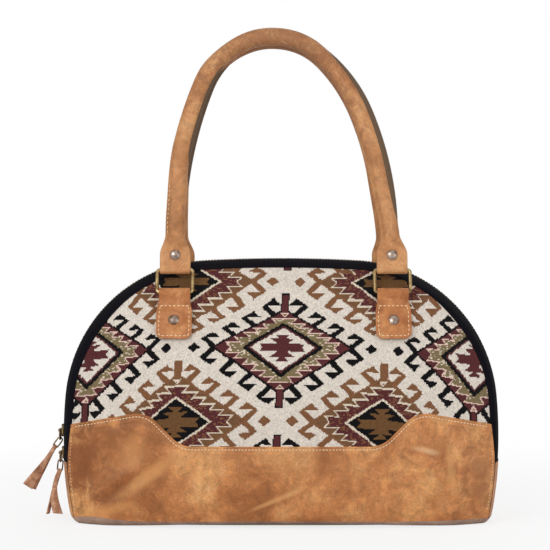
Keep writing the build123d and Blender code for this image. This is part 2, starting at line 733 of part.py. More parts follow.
# Zip pulls: slider, bail, link and folded leather tab, each hung on the one before
LUG_AXIS = TOOTH_PROUD + FIT + SLIDER_ROOF + LUG_RISE
for name, z, swing in (("upper", UPPER_SLIDER_Z, UPPER_SWING), ("lower", LOWER_SLIDER_Z, LOWER_SWING)):
    at = slider_plane(z)
    with BuildPart() as slider:
        with BuildSketch(at.offset(TOOTH_PROUD + FIT)) as roof:
            Rectangle(SLIDER_LONG, SLIDER_WIDE)
            fillet(roof.vertices(), SLIDER_WIDE / 4)
        extrude(amount=SLIDER_ROOF)
        with BuildSketch(at.offset(FIT)):
            for side in (-1, 1):
                with Locations((0, side * (SLIDER_WIDE - SLIDER_CHEEK) / 2)):
                    Rectangle(SLIDER_LONG / 2, SLIDER_CHEEK)
        extrude(amount=TOOTH_PROUD + SLIDER_ROOF / 2)
        with BuildSketch(Plane(origin=at.origin, x_dir=at.x_dir, z_dir=-at.y_dir)) as lug:
            with Locations((0, LUG_AXIS)):
                Circle(LUG_RISE)
            with Locations((0, LUG_AXIS - LUG_RISE)):
                Rectangle(2 * LUG_RISE, LUG_RISE, align=(Align.CENTER, Align.MIN))
            with Locations((0, LUG_AXIS)):
                Circle(BAIL_WIRE / 2 + FIT, mode=Mode.SUBTRACT)
        extrude(amount=LUG_WIDE / 2, both=True)
    finish(slider, f"slider_{name}")

    hang = at.from_local_coords((0, 0, LUG_AXIS))
    with BuildPart() as bail:
        section, path = wire_loop(
            Plane(origin=hang, x_dir=(0, 1, 0), z_dir=(1, 0, 0)), BAIL_WIDE, BAIL_LONG, BAIL_WIRE, BAIL_CORNER
        )
        sweep(section, path=path)
    finish(bail, f"bail_{name}")

    # The link lies in the bag's middle plane and leans outwards by its swing
    lean = radians(swing)
    down = Vector(-sin(lean), 0, -cos(lean))
    low_bar = hang - Vector(0, 0, BAIL_LONG)
    link_top = low_bar - down * (BAIL_WIRE / 2 + LINK_WIRE / 2 + FIT)
    with BuildPart() as link:
        section, path = wire_loop(
            Plane(origin=link_top, x_dir=(cos(lean), 0, -sin(lean)), z_dir=(0, -1, 0)),
            LINK_WIDE, LINK_LONG, LINK_WIRE, 0.48 * LINK_WIDE,
        )
        sweep(section, path=path)
    finish(link, f"link_{name}")

    # The leather is folded round the link's lower end and hangs on as a double strip
    pull_top = link_top + down * LINK_LONG
    with BuildPart() as pull:
        with BuildSketch(Plane(origin=pull_top, x_dir=(cos(lean), 0, -sin(lean)), z_dir=(0, -1, 0))) as strip_edge:
            with BuildLine():
                neck, half = PULL_NECK / 2, PULL_WIDE / 2
                right = [(neck, 0), (neck, -PULL_SHOULDER), (half, -2 * PULL_SHOULDER), (half, -PULL_LONG)]
                Polyline(*right, *[(-u, v) for u, v in reversed(right)], close=True)
            make_face()
            fillet(strip_edge.vertices().group_by(Axis.Y)[0], PULL_WIDE / 3)
        extrude(amount=PULL_THICK / 2, both=True)
        with BuildSketch(Plane(origin=pull_top, x_dir=(0, 1, 0), z_dir=(cos(lean), 0, -sin(lean)))):
            Circle(PULL_LOOP)
        extrude(amount=PULL_NECK / 2, both=True)
        with BuildSketch(Plane(origin=pull_top, x_dir=(0, 1, 0), z_dir=(cos(lean), 0, -sin(lean)))):
            Circle(PULL_LOOP - PULL_THICK / 2)
        extrude(amount=PULL_WIDE, both=True, mode=Mode.SUBTRACT)
    finish(pull, f"pull_tab_{name}")
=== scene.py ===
"""A domed satchel of woven cloth and waxed leather, with a zip round the dome and two rolled handles."""
import json
import logging
from dataclasses import dataclass, field
from enum import Enum, IntEnum
from math import asin, cos, hypot, pi, radians, sin, sqrt
from typing import Callable

import bpy
import numpy as np
from mathutils import Matrix, Vector


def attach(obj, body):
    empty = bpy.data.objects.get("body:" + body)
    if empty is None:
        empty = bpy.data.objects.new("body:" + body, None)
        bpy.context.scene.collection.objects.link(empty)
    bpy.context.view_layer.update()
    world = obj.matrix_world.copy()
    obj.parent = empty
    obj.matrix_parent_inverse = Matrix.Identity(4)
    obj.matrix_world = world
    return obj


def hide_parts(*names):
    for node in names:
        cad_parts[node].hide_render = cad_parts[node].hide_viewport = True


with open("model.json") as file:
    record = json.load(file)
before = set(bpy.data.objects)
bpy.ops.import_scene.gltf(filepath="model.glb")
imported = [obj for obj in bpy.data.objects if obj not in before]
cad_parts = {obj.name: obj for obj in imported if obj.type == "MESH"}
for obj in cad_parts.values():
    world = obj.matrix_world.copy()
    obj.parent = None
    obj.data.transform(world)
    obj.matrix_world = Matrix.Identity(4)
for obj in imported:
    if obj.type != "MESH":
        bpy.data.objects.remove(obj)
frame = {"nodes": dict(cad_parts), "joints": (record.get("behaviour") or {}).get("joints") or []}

LOG = logging.getLogger("satchel")

# Sizes are in millimetres, and meshes are in metres
MM = 0.001
SEED = 11
Array = np.ndarray
Placer = Callable[[Array, Array], Array]


class Side(Enum):
    """Front or back of the bag, by the direction in which it faces along Y."""

    FRONT = -1
    BACK = 1

    @property
    def label(self) -> str:
        """The side's name in the names of nodes and bodies."""
        return self.name.lower()


class Hand(Enum):
    """Left or right of someone who looks at the front, by the direction along X."""

    LEFT = -1
    RIGHT = 1

    @property
    def label(self) -> str:
        """The hand's name in the names of nodes and bodies."""
        return self.name.lower()


class Yarn(IntEnum):
    """Yarns of the woven cloth."""

    CREAM = 0
    BLACK = 1
    MAROON = 2
    OLIVE = 3
    BROWN = 4
    PINK = 5
    ECRU = 6
    TAUPE = 7
    UMBER = 8


def linear(colour: str) -> tuple[float, float, float, float]:
    """Turn an sRGB hex colour to linear.

    Args:
        colour: Six hex digits after a hash sign.

    Returns:
        Red, green, blue and an alpha of 1.
    """
    parts = [int(colour[i:i + 2], 16) / 255 for i in (1, 3, 5)]
    return (*[c / 12.92 if c <= 0.04045 else ((c + 0.055) / 1.055) ** 2.4 for c in parts], 1.0)


def smooth(low: float, high: float, value: Array) -> Array:
    """Rise smoothly from 0 at low to 1 at high."""
    t = np.clip((value - low) / (high - low), 0.0, 1.0)
    return t * t * (3 - 2 * t)


# Forms: the shape that the cloth and leather follow


@dataclass(frozen=True)
class Arc:
    """An arc of the outline, in the plane of X and Z, with its angles in degrees."""

    centre: tuple[float, float]
    radius: float
    low: float
    high: float

    @property
    def length(self) -> float:
        """Length along the arc."""
        return self.radius * radians(self.high - self.low)


@dataclass
class DomeForm:
    """The bag's own shape: the dome's outline, and how far the front stands before the middle plane."""

    half_width: float = 210.5
    height: float = 252.0
    widest: float = 82.0
    side_radius: float = 430.0
    side_rise: float = 5.2
    side_drop: float = 9.1
    top_angle: float = 3.2
    foot_radius: float = 60.0
    foot_angle: float = 40.0
    inset: float = 8.0
    belly: float = 82.0
    low_belly: float = 70.0
    rim: float = 22.0
    side_reach: float = 1.06
    side_power: float = 3.0
    side_round: float = 0.6
    top_reach: float = 1.0
    top_power: float = 2.3
    top_round: float = 1.2
    arcs: list[Arc] = field(init=False)

    def __post_init__(self) -> None:
        """Work out the shoulder and top arcs that close the outline."""
        rise, top, drop = radians(self.side_rise), radians(self.top_angle), radians(self.side_drop)
        across = self.half_width - self.side_radius * (1 - cos(rise))
        up = self.height - self.widest - self.side_radius * sin(rise)
        a, b, c, d = cos(rise) - sin(top), sin(top), cos(top) - sin(rise), 1 - cos(top)
        shoulder = (across * d - b * up) / (a * d - b * c)
        crown = (a * up - c * across) / (a * d - b * c)
        middle = self.half_width - self.side_radius
        inner = self.side_radius - shoulder
        foot = self.side_radius - self.foot_radius
        self.arcs = [
            Arc((middle + foot * cos(drop), self.widest - foot * sin(drop)), self.foot_radius,
                -self.foot_angle, -self.side_drop),
            Arc((middle, self.widest), self.side_radius, -self.side_drop, self.side_rise),
            Arc((middle + inner * cos(rise), self.widest + inner * sin(rise)), shoulder,
                self.side_rise, 90 - self.top_angle),
            Arc((0.0, self.height - crown), crown, 90 - self.top_angle, 90.0),
        ]

    @property
    def length(self) -> float:
        """Length of the right half of the outline, from the foot to the crown."""
        return sum(arc.length for arc in self.arcs)

    def length_at(self, z: float) -> float:
        """Length along the outline from the foot to a height on the foot arc or the side arc."""
        foot, side = self.arcs[0], self.arcs[1]
        if z < side.centre[1] + side.radius * sin(radians(side.low)):
            return foot.radius * (asin((z - foot.centre[1]) / foot.radius) - radians(foot.low))
        return foot.length + side.radius * (asin((z - side.centre[1]) / side.radius) - radians(side.low))

    def outline(self, length: Array) -> tuple[Array, Array, Array, Array]:
        """Points of the whole outline, from the left foot over the crown to the right foot.

        Args:
            length: Lengths from the left foot.

        Returns:
            X and Z of the points, and X and Z of the outward direction there.
        """
        length = np.asarray(length, float)
        right = length > self.length
        left = np.where(right, 2 * self.length - length, length)
        x, z, ox, oz = (np.zeros_like(left) for _ in range(4))
        start = 0.0
        for arc in self.arcs:
            here = (left >= start) & ((left <= start + arc.length) | (arc.high == 90.0))
            angle = np.radians(arc.low) + (left - start) / arc.radius
            x = np.where(here, arc.centre[0] + arc.radius * np.cos(angle), x)
            z = np.where(here, arc.centre[1] + arc.radius * np.sin(angle), z)
            ox, oz = np.where(here, np.cos(angle), ox), np.where(here, np.sin(angle), oz)
            start += arc.length
        sign = np.where(right, 1.0, -1.0)
        return sign * x, z, sign * ox, oz

    def inside(self, x: Array, z: Array) -> tuple[Array, Array, Array]:
        """Distance inwards from the outline, and the outward direction there.

        Args:
            x: Places across the bag.
            z: Heights.

        Returns:
            The distance, positive inside, and X and Z of the outward direction.
        """
        across = np.abs(x)
        gap, ox, oz = np.full(across.shape, -1e3), np.zeros_like(across), np.ones_like(across)
        for arc in self.arcs:
            dx, dz = across - arc.centre[0], z - arc.centre[1]
            angle = np.degrees(np.arctan2(dz, dx))
            far = np.hypot(dx, dz)
            here = (angle >= arc.low - 1e-6) & (angle <= arc.high + 1e-6)
            gap = np.where(here, arc.radius - far, gap)
            ox, oz = np.where(here, dx / far, ox), np.where(here, dz / far, oz)
        return gap, np.sign(x) * ox, oz

    def width_at(self, z: Array) -> Array:
        """Half-width of the outline at heights at or below the widest one."""
        z = np.asarray(z, float)
        foot, side = self.arcs[0], self.arcs[1]
        join = side.centre[1] + side.radius * sin(radians(side.low))
        low, high = (arc.centre[0] + np.sqrt(np.maximum(arc.radius**2 - (z - arc.centre[1]) ** 2, 0))
                     for arc in (foot, side))
        return np.where(z < join, low, high)

    def reach(self, angle: Array) -> Array:
        """Distance from the widest level's middle to the outline, at angles above the horizontal."""
        found = np.zeros_like(angle)
        done = np.zeros(angle.shape, bool)
        for arc in self.arcs[1:]:
            end_x = arc.centre[0] + arc.radius * cos(radians(arc.high))
            end_z = arc.centre[1] + arc.radius * sin(radians(arc.high)) - self.widest
            here = ~done & ((angle <= np.arctan2(end_z, end_x)) | (arc.high == 90.0))
            across, up = arc.centre[0], arc.centre[1] - self.widest
            along = across * np.cos(angle) + up * np.sin(angle)
            far = along + np.sqrt(arc.radius**2 - across**2 - up**2 + along**2)
            found, done = np.where(here, far, found), done | here
        return found

    def depth(self, x: Array, z: Array) -> Array:
        """How far the cloth of the front stands before the bag's middle plane."""
        x, z = np.broadcast_arrays(np.abs(np.asarray(x, float)), np.asarray(z, float))
        up = z - self.widest
        high = up >= 0
        angle = np.where(high, np.arctan2(np.maximum(up, 0), np.maximum(x, 1e-9)), 0.0)
        share = np.where(high, np.hypot(x, up) / self.reach(angle), x / self.width_at(z))
        turn = np.where(high, np.sin(angle) ** 2, 0.0)
        drop = (self.belly - self.low_belly) * (np.maximum(-up, 0) / self.widest) ** 3
        edge = self.side_reach + (self.top_reach - self.side_reach) * turn
        power = self.side_power + (self.top_power - self.side_power) * turn
        rounding = self.side_round + (self.top_round - self.side_round) * turn
        near = np.minimum(share, 1.0)
        left = np.maximum(1 - (near / edge) ** power, 1e-9)
        slope = -rounding * power / edge * (near / edge) ** (power - 1) * left ** (rounding - 1)
        full = np.where(left < 2e-9, 0.0, left**rounding + slope * (share - near))
        return self.rim + (self.belly - drop - self.rim) * full

    def skin(self, x: Array, z: Array, stand: Array, side: Side) -> Array:
        """Points that stand off the front or back of the cloth by a distance along Y."""
        x, z, stand = np.broadcast_arrays(np.asarray(x, float), z, stand)
        return np.stack([x, side.value * (self.depth(x, z) + stand), z], axis=-1)

    def normal(self, x: Array, z: Array, side: Side) -> Array:
        """Outward unit normals of the front or back."""
        step = 0.5
        across = (self.depth(x + step, z) - self.depth(x - step, z)) / (2 * step)
        up = (self.depth(x, z + step) - self.depth(x, z - step)) / (2 * step)
        found = np.stack([-across, side.value * np.ones_like(across), -up], axis=-1)
        return found / np.linalg.norm(found, axis=-1, keepdims=True)


@dataclass
class LeatherEdge:
    """The shaped top edge of the leather base: a polyline with rounded corners."""

    half_width: float = 226.5
    flat: float = 93.0
    top: float = 77.0
    peak_x: float = 126.0
    peak: float = 109.0
    side: float = 93.0
    side_x: float = 210.5
    corner: float = 26.0
    line: Array = field(init=False)

    def __post_init__(self) -> None:
        """Round the corners by arcs and keep the edge as a fine line."""
        slope = (self.peak - self.side) / (self.side_x - self.peak_x)
        end = self.peak - slope * (self.half_width - self.peak_x)
        right = [(self.flat, self.top), (self.peak_x, self.peak), (self.half_width, end)]
        corners = np.array([(-x, z) for x, z in reversed(right)] + right)
        points = [corners[0]]
        for before, here, after in zip(corners, corners[1:], corners[2:]):
            back, on = (before - here), (after - here)
            back, on = back / np.hypot(*back), on / np.hypot(*on)
            half = np.arccos(np.clip(back @ on, -1, 1)) / 2
            middle = back + on
            centre = here + middle / np.hypot(*middle) * self.corner / np.sin(half)
            first, last = here + back * self.corner / np.tan(half), here + on * self.corner / np.tan(half)
            for t in np.linspace(0, 1, 9):
                ray = first + (last - first) * t - centre
                points.append(centre + ray / np.hypot(*ray) * self.corner)
        points.append(corners[-1])
        self.line = np.array(points)

    def height(self, x: Array) -> Array:
        """Height of the edge across the bag."""
        return np.interp(x, self.line[:, 0], self.line[:, 1])

    def slant(self, x: Array) -> Array:
        """How much longer a vertical step is than the same step square to the edge."""
        step = 1.0
        return np.hypot(1.0, (self.height(x + step) - self.height(x - step)) / (2 * step))


FORM = DomeForm()
EDGE = LeatherEdge()


# Meshes


def deselect() -> None:
    """Leave nothing selected."""
    if bpy.context.object and bpy.context.object.mode != "OBJECT":
        bpy.ops.object.mode_set(mode="OBJECT")
    bpy.ops.object.select_all(action="DESELECT")


def choose(piece: bpy.types.Object) -> None:
    """Make one piece the only selected one and the active one."""
    deselect()
    piece.select_set(True)
    bpy.context.view_layer.objects.active = piece


def points_of(piece: bpy.types.Object) -> Array:
    """A piece's vertices in millimetres."""
    found = np.empty(len(piece.data.vertices) * 3)
    piece.data.vertices.foreach_get("co", found)
    return found.reshape(-1, 3) / MM


def move_points(piece: bpy.types.Object, points: Array) -> None:
    """Set a piece's vertices, given in millimetres."""
    piece.data.vertices.foreach_set("co", (points * MM).ravel())
    piece.data.update()


def edit(piece: bpy.types.Object, *steps: Callable[[], object], kind: str = "VERT") -> None:
    """Run operators on the whole of a piece in edit mode.

    Args:
        piece: The piece to edit.
        steps: Calls without arguments, made in order.
        kind: What is selected: VERT, EDGE or FACE.
    """
    choose(piece)
    bpy.ops.object.mode_set(mode="EDIT")
    bpy.ops.mesh.select_mode(type=kind)
    bpy.ops.mesh.select_all(action="SELECT")
    for step in steps:
        step()
    bpy.ops.object.mode_set(mode="OBJECT")


def sheet_of(name: str, columns: int, rows: int, place: Placer, flip: bool = False,
             closed: bool = False) -> bpy.types.Object:
    """Add a grid and carry each of its points to its place on a curved form.

    Args:
        name: Name of the new piece.
        columns: Faces along the first direction.
        rows: Faces along the second direction.
        place: Turns arrays of shares from 0 to 1 in both directions to points in millimetres.
        flip: Whether the faces are turned over.
        closed: Whether the ends meet, so that the doubles are merged and the normals recalculated.

    Returns:
        The new piece, smooth shaded.
    """
    deselect()
    bpy.ops.mesh.primitive_grid_add(x_subdivisions=columns, y_subdivisions=rows, size=1.0)
    piece = bpy.context.active_object
    piece.name = piece.data.name = name
    flat = points_of(piece) * MM + 0.5
    move_points(piece, place(flat[:, 0], flat[:, 1]))
    if flip:
        edit(piece, bpy.ops.mesh.flip_normals)
    if closed:
        edit(piece, lambda: bpy.ops.mesh.remove_doubles(threshold=0.02 * MM),
             lambda: bpy.ops.mesh.normals_make_consistent(inside=False))
    choose(piece)
    bpy.ops.object.shade_smooth()
    return piece


def extrude_rim(piece: bpy.types.Object, offset: tuple[float, float, float]) -> None:
    """Extrude a piece's open edge by an offset in metres."""
    edit(piece, lambda: bpy.ops.mesh.select_all(action="DESELECT"),
         lambda: bpy.ops.mesh.select_non_manifold(),
         lambda: bpy.ops.mesh.extrude_edges_move(TRANSFORM_OT_translate={"value": offset}), kind="EDGE")


def finish_with(piece: bpy.types.Object, kind: str, **settings: object) -> None:
    """Add a modifier to a piece and apply it.

    Args:
        piece: The piece.
        kind: Blender's name of the modifier.
        settings: The modifier's own settings.
    """
    choose(piece)
    modifier = piece.modifiers.new(kind.title(), kind)
    for setting, value in settings.items():
        setattr(modifier, setting, value)
    bpy.ops.object.modifier_apply(modifier=modifier.name)


def repeat(name: str, pattern: bpy.types.Object, frames: list[Matrix]) -> bpy.types.Object:
    """Copy a small piece to many places and join the copies in one mesh.

    Args:
        name: Name of the joined piece.
        pattern: The small piece, which is used up.
        frames: Where each copy goes, in metres.

    Returns:
        The joined piece.
    """
    corners = np.array([vertex.co for vertex in pattern.data.vertices])
    faces = [tuple(face.vertices) for face in pattern.data.polygons]
    points, sides = [], []
    for at, place in enumerate(frames):
        turn = np.array(place)
        points.append(corners @ turn[:3, :3].T + turn[:3, 3])
        sides += [tuple(v + at * len(corners) for v in face) for face in faces]
    mesh = bpy.data.meshes.new(name)
    mesh.from_pydata(np.concatenate(points).tolist(), [], sides)
    mesh.update()
    joined = bpy.data.objects.new(name, mesh)
    bpy.context.collection.objects.link(joined)
    bpy.data.objects.remove(pattern)
    choose(joined)
    bpy.ops.object.shade_smooth()
    return joined


def axes(at: Array, along: Array, out: Array) -> Matrix:
    """A frame in metres with X along a direction and Z out of the surface, from millimetres."""
    x = Vector(along).normalized()
    z = Vector(out)
    z = (z - x * z.dot(x)).normalized()
    y = z.cross(x)
    turn = Matrix((x, y, z)).transposed().to_4x4()
    turn.translation = Vector(at) * MM
    return turn


def spaced(points: Array, pitch: float) -> tuple[Array, Array]:
    """Points at an even pitch along a line of points, and the directions there.

    Args:
        points: The line, any number of coordinates to a point.
        pitch: Distance from one point to the next.

    Returns:
        The points and the unit directions.
    """
    steps = np.linalg.norm(np.diff(points, axis=0), axis=1)
    length = np.concatenate([[0], np.cumsum(steps)])
    count = max(int(length[-1] / pitch), 1)
    at = (np.arange(count) + 0.5) * length[-1] / count
    step = 0.2
    found, ahead, behind = (
        np.stack([np.interp(at + off, length, column) for column in points.T], axis=1)
        for off in (0.0, step, -step))
    way = ahead - behind
    return found, way / np.linalg.norm(way, axis=1, keepdims=True)


def joint_of(name: str) -> dict:
    """A joint of the frame, by its name."""
    return next(joint for joint in frame["joints"] if joint["name"] == name)


def smooth_copy(name: str, node: str, angle: float = 40.0) -> bpy.types.Object:
    """Copy a node's mesh, merge its loose triangles and shade it smooth.

    Args:
        name: Name of the copy.
        node: The node that is copied.
        angle: Edges sharper than this stay sharp, in degrees.

    Returns:
        The copy, which stands for the node.
    """
    source = frame["nodes"][node]
    copy = bpy.data.objects.new(name, source.data.copy())
    bpy.context.collection.objects.link(copy)
    copy.data.materials.clear()
    edit(copy, lambda: bpy.ops.mesh.remove_doubles(threshold=0.002 * MM))
    choose(copy)
    bpy.ops.object.shade_smooth_by_angle(angle=radians(angle))
    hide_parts(node)
    return copy


# Materials


def add_node(tree: bpy.types.NodeTree, kind: str, inputs: dict | None = None,
             **settings: object) -> bpy.types.Node:
    """Add a node with its settings, values and links.

    Args:
        tree: The material's node tree.
        kind: Blender's name of the node type.
        inputs: Values or output sockets by the name or number of an input.
        settings: The node's own settings.

    Returns:
        The new node.
    """
    made = tree.nodes.new(kind)
    for setting, value in settings.items():
        setattr(made, setting, value)
    for name, value in (inputs or {}).items():
        if isinstance(value, bpy.types.NodeSocket):
            tree.links.new(value, made.inputs[name])
        else:
            made.inputs[name].default_value = value
    return made


def new_material(name: str) -> tuple[bpy.types.Material, bpy.types.NodeTree, bpy.types.Node]:
    """A new material with its tree and its one shader."""
    material = bpy.data.materials.new(name)
    material.use_nodes = True
    tree = material.node_tree
    return material, tree, tree.nodes["Principled BSDF"]


def mix_colours(tree: bpy.types.NodeTree, share: bpy.types.NodeSocket,
                low: bpy.types.NodeSocket | tuple, high: tuple) -> bpy.types.NodeSocket:
    """Mix two colours by a share that runs from 0 to 1."""
    return add_node(tree, "ShaderNodeMix", {"Factor": share, 6: low, 7: high}, data_type="RGBA").outputs[2]


def raise_surface(tree: bpy.types.NodeTree, shader: bpy.types.Node,
                  *layers: tuple[bpy.types.NodeSocket, float, float]) -> None:
    """Give a shader bumps, each on top of the one before.

    Args:
        tree: The material's node tree.
        shader: The shader that gets the normal.
        layers: Each layer's height, its strength and its depth in millimetres.
    """
    normal = None
    for height, strength, deep in layers:
        inputs = {"Height": height, "Strength": strength, "Distance": deep * MM}
        if normal is not None:
            inputs["Normal"] = normal
        normal = add_node(tree, "ShaderNodeBump", inputs).outputs["Normal"]
    tree.links.new(normal, shader.inputs["Normal"])


def dress(piece: bpy.types.Object, material: bpy.types.Material) -> None:
    """Give a piece one material."""
    piece.data.materials.clear()
    piece.data.materials.append(material)


@dataclass(frozen=True)
class Patch:
    """A place where the leather is darker or paler: its centre, its sizes and its strength."""

    x: float
    z: float
    wide: float
    tall: float
    strength: float
    colour: str
    lean: float = 0.0


@dataclass(frozen=True)
class WaxedLeather:
    """Pull-up cowhide, waxed and showing wear: dark where it was handled, pale where it was scratched, with
    painted shade and painted highlight along folds.
    """

    name: str
    colour: str
    dark: str
    pale: str
    cloud: float = 45.0
    pore: float = 0.9
    crease: float = 9.0
    roughness: float = 0.5
    contrast: float = 1.0
    scar: str = "#E3BE92"
    patches: tuple[Patch, ...] = ()

    def make(self) -> bpy.types.Material:
        """Build the material: clouds of wax, mottles, grain, scratches, and single darker and paler places,
        some from wear and some painted as shade and highlight along folds.
        """
        material, tree, shader = new_material(self.name)
        where = add_node(tree, "ShaderNodeTexCoord").outputs["Object"]
        cloud = self.noise(tree, where, self.cloud, 4.0, 0.55, 0.4)
        mottle = self.noise(tree, where, self.cloud / 4.5, 6.0, 0.7, 0.6)
        grain = self.noise(tree, where, self.pore * 1.8, 3.0, 0.7, 0.0)
        spread = 0.17 / self.contrast
        tone = add_node(tree, "ShaderNodeValToRGB", {"Fac": cloud})
        tone.color_ramp.elements[0].position = 0.5 - spread
        tone.color_ramp.elements[0].color = linear(self.dark)
        tone.color_ramp.elements[1].position = 0.5 + spread
        tone.color_ramp.elements[1].color = linear(self.pale)
        tone.color_ramp.elements.new(0.5).color = linear(self.colour)
        colour = tone.outputs["Color"]
        for source, share in ((mottle, 0.27), (grain, 0.15)):
            fleck = add_node(tree, "ShaderNodeMapRange", {
                "Value": source, "From Min": 0.3, "From Max": 0.7,
                "To Min": 1 - share * self.contrast, "To Max": 1 + share * self.contrast})
            colour = add_node(tree, "ShaderNodeVectorMath", {
                0: colour, 1: fleck.outputs["Result"]}, operation="MULTIPLY").outputs[0]
        # Single darker and paler places: wear, and painted shade and painted highlight along folds
        for patch in self.patches:
            colour = self.worn(tree, where, colour, patch, mottle)
        for lean, long in ((35, 16), (-50, 22), (80, 12)):
            colour = self.scratched(tree, where, colour, lean, long, cloud)
        tree.links.new(colour, shader.inputs["Base Color"])

        pores = add_node(tree, "ShaderNodeTexVoronoi", {
            "Vector": where, "Scale": 1 / (self.pore * MM), "Randomness": 1.0}, feature="F1")
        folds = self.noise(tree, where, self.crease, 5.0, 0.6, 1.0)
        raise_surface(tree, shader, (pores.outputs["Distance"], 0.3, 0.12), (folds, 0.6, 1.5))
        rough = add_node(tree, "ShaderNodeMapRange", {
            "Value": mottle, "From Min": 0.3, "From Max": 0.7,
            "To Min": self.roughness - 0.08, "To Max": self.roughness + 0.1})
        tree.links.new(rough.outputs["Result"], shader.inputs["Roughness"])
        shader.inputs["Specular IOR Level"].default_value = 0.35
        return material

    def noise(self, tree: bpy.types.NodeTree, where: bpy.types.NodeSocket, size: float,
              detail: float, roughness: float, distortion: float) -> bpy.types.NodeSocket:
        """A noise whose largest features have a size in millimetres."""
        return add_node(tree, "ShaderNodeTexNoise", {
            "Vector": where, "Scale": 1 / (size * MM), "Detail": detail, "Roughness": roughness,
            "Distortion": distortion}).outputs["Fac"]

    def scratched(self, tree: bpy.types.NodeTree, where: bpy.types.NodeSocket,
                  colour: bpy.types.NodeSocket, lean: float, long: float,
                  mask: bpy.types.NodeSocket) -> bpy.types.NodeSocket:
        """Draw sparse pale scratches that lean one way, where the wax has been broken.

        Args:
            tree: The material's node tree.
            where: Object coordinates.
            colour: The colour so far.
            lean: Direction of the scratches, in degrees above the horizontal.
            long: Their length in millimetres.
            mask: A broad noise that gathers them in some places.

        Returns:
            The mixed colour.
        """
        local = add_node(tree, "ShaderNodeMapping", {
            "Vector": where, "Rotation": (0, radians(lean), 0), "Scale": (long * MM, 0.05, 0.5 * MM),
        }, vector_type="TEXTURE")
        thin = add_node(tree, "ShaderNodeTexNoise", {
            "Vector": local.outputs["Vector"], "Scale": 1.0, "Detail": 1.5, "Distortion": 0.3})
        both = add_node(tree, "ShaderNodeMath", {0: mask, 1: 0.35, 2: thin.outputs["Fac"]},
                        operation="MULTIPLY_ADD")
        share = add_node(tree, "ShaderNodeMapRange", {
            "Value": both.outputs[0], "From Min": 0.9, "From Max": 0.96, "To Max": 0.55})
        return mix_colours(tree, share.outputs["Result"], colour, linear(self.scar))

    def worn(self, tree: bpy.types.NodeTree, where: bpy.types.NodeSocket,
             colour: bpy.types.NodeSocket, patch: Patch, break_up: bpy.types.NodeSocket
             ) -> bpy.types.NodeSocket:
        """Mix one darker or paler place into the colour, with an edge that the streaks break up; some places
        are wear, and some are painted shade and painted highlight along folds.

        Args:
            tree: The material's node tree.
            where: Object coordinates.
            colour: The colour so far.
            patch: The darker or paler place, which is wear or painted shade or highlight.
            break_up: A noise from 0 to 1.

        Returns:
            The mixed colour.
        """
        local = add_node(tree, "ShaderNodeMapping", {
            "Vector": where, "Location": (patch.x * MM, 0, patch.z * MM),
            "Rotation": (0, radians(patch.lean), 0), "Scale": (patch.wide * MM, 10.0, patch.tall * MM),
        }, vector_type="TEXTURE")
        far = add_node(tree, "ShaderNodeVectorMath", {0: local.outputs["Vector"]}, operation="LENGTH")
        ragged = add_node(tree, "ShaderNodeMath", {0: break_up, 1: 1.6, 2: -0.8},
                          operation="MULTIPLY_ADD")
        edge = add_node(tree, "ShaderNodeMath", {0: far.outputs["Value"], 1: ragged.outputs[0]},
                        operation="ADD")
        share = add_node(tree, "ShaderNodeMapRange", {
            "Value": edge.outputs[0], "From Min": 0.2, "From Max": 1.1, "To Min": patch.strength,
            "To Max": 0.0}, interpolation_type="SMOOTHSTEP")
        return mix_colours(tree, share.outputs["Result"], colour, linear(patch.colour))


@dataclass(frozen=True)
class Jacquard:
    """Jacquard cloth: coloured wefts over a fine warp, matt, with a ribbed face."""

    name: str = "jacquard_cloth"
    pitch: float = 1.15
    roughness: float = 0.9

    def make(self) -> bpy.types.Material:
        """Build the material from the yarn colours on the mesh, with threads, painted shade between them, and
        fuzz.
        """
        material, tree, shader = new_material(self.name)
        yarn = add_node(tree, "ShaderNodeAttribute", attribute_name="yarn")
        where = add_node(tree, "ShaderNodeTexCoord").outputs["Object"]
        cloth = add_node(tree, "ShaderNodeUVMap", uv_map="cloth").outputs["UV"]
        split = add_node(tree, "ShaderNodeSeparateXYZ", {0: cloth})
        lines = []
        for axis in (0, 1):
            turns = add_node(tree, "ShaderNodeMath", {
                0: split.outputs[axis], 1: 2 * pi / (self.pitch * MM)}, operation="MULTIPLY")
            wave = add_node(tree, "ShaderNodeMath", {0: turns.outputs[0]}, operation="SINE")
            lines.append(wave.outputs[0])
        weave = add_node(tree, "ShaderNodeMath", {0: lines[0], 1: lines[1]}, operation="MULTIPLY")
        fuzz = add_node(tree, "ShaderNodeTexNoise", {
            "Vector": where, "Scale": 1 / (2.2 * MM), "Detail": 3.0, "Roughness": 0.7})
        # Painted shade between the threads: the colour is darker where the weave dips
        shade = add_node(tree, "ShaderNodeMapRange", {
            "Value": weave.outputs[0], "From Min": -1.0, "From Max": 1.0, "To Min": 0.84,
            "To Max": 1.06})
        soft = add_node(tree, "ShaderNodeMapRange", {
            "Value": fuzz.outputs["Fac"], "From Min": 0.3, "From Max": 0.7, "To Min": 0.92,
            "To Max": 1.08})
        both = add_node(tree, "ShaderNodeMath", {0: shade.outputs[0], 1: soft.outputs[0]},
                        operation="MULTIPLY")
        colour = add_node(tree, "ShaderNodeVectorMath", {
            0: yarn.outputs["Color"], 1: both.outputs[0]}, operation="MULTIPLY")
        tree.links.new(colour.outputs[0], shader.inputs["Base Color"])
        raise_surface(tree, shader, (weave.outputs[0], 0.5, 0.25), (fuzz.outputs["Fac"], 0.4, 0.4))
        shader.inputs["Roughness"].default_value = self.roughness
        shader.inputs["Specular IOR Level"].default_value = 0.12
        shader.inputs["Sheen Weight"].default_value = 0.05
        return material


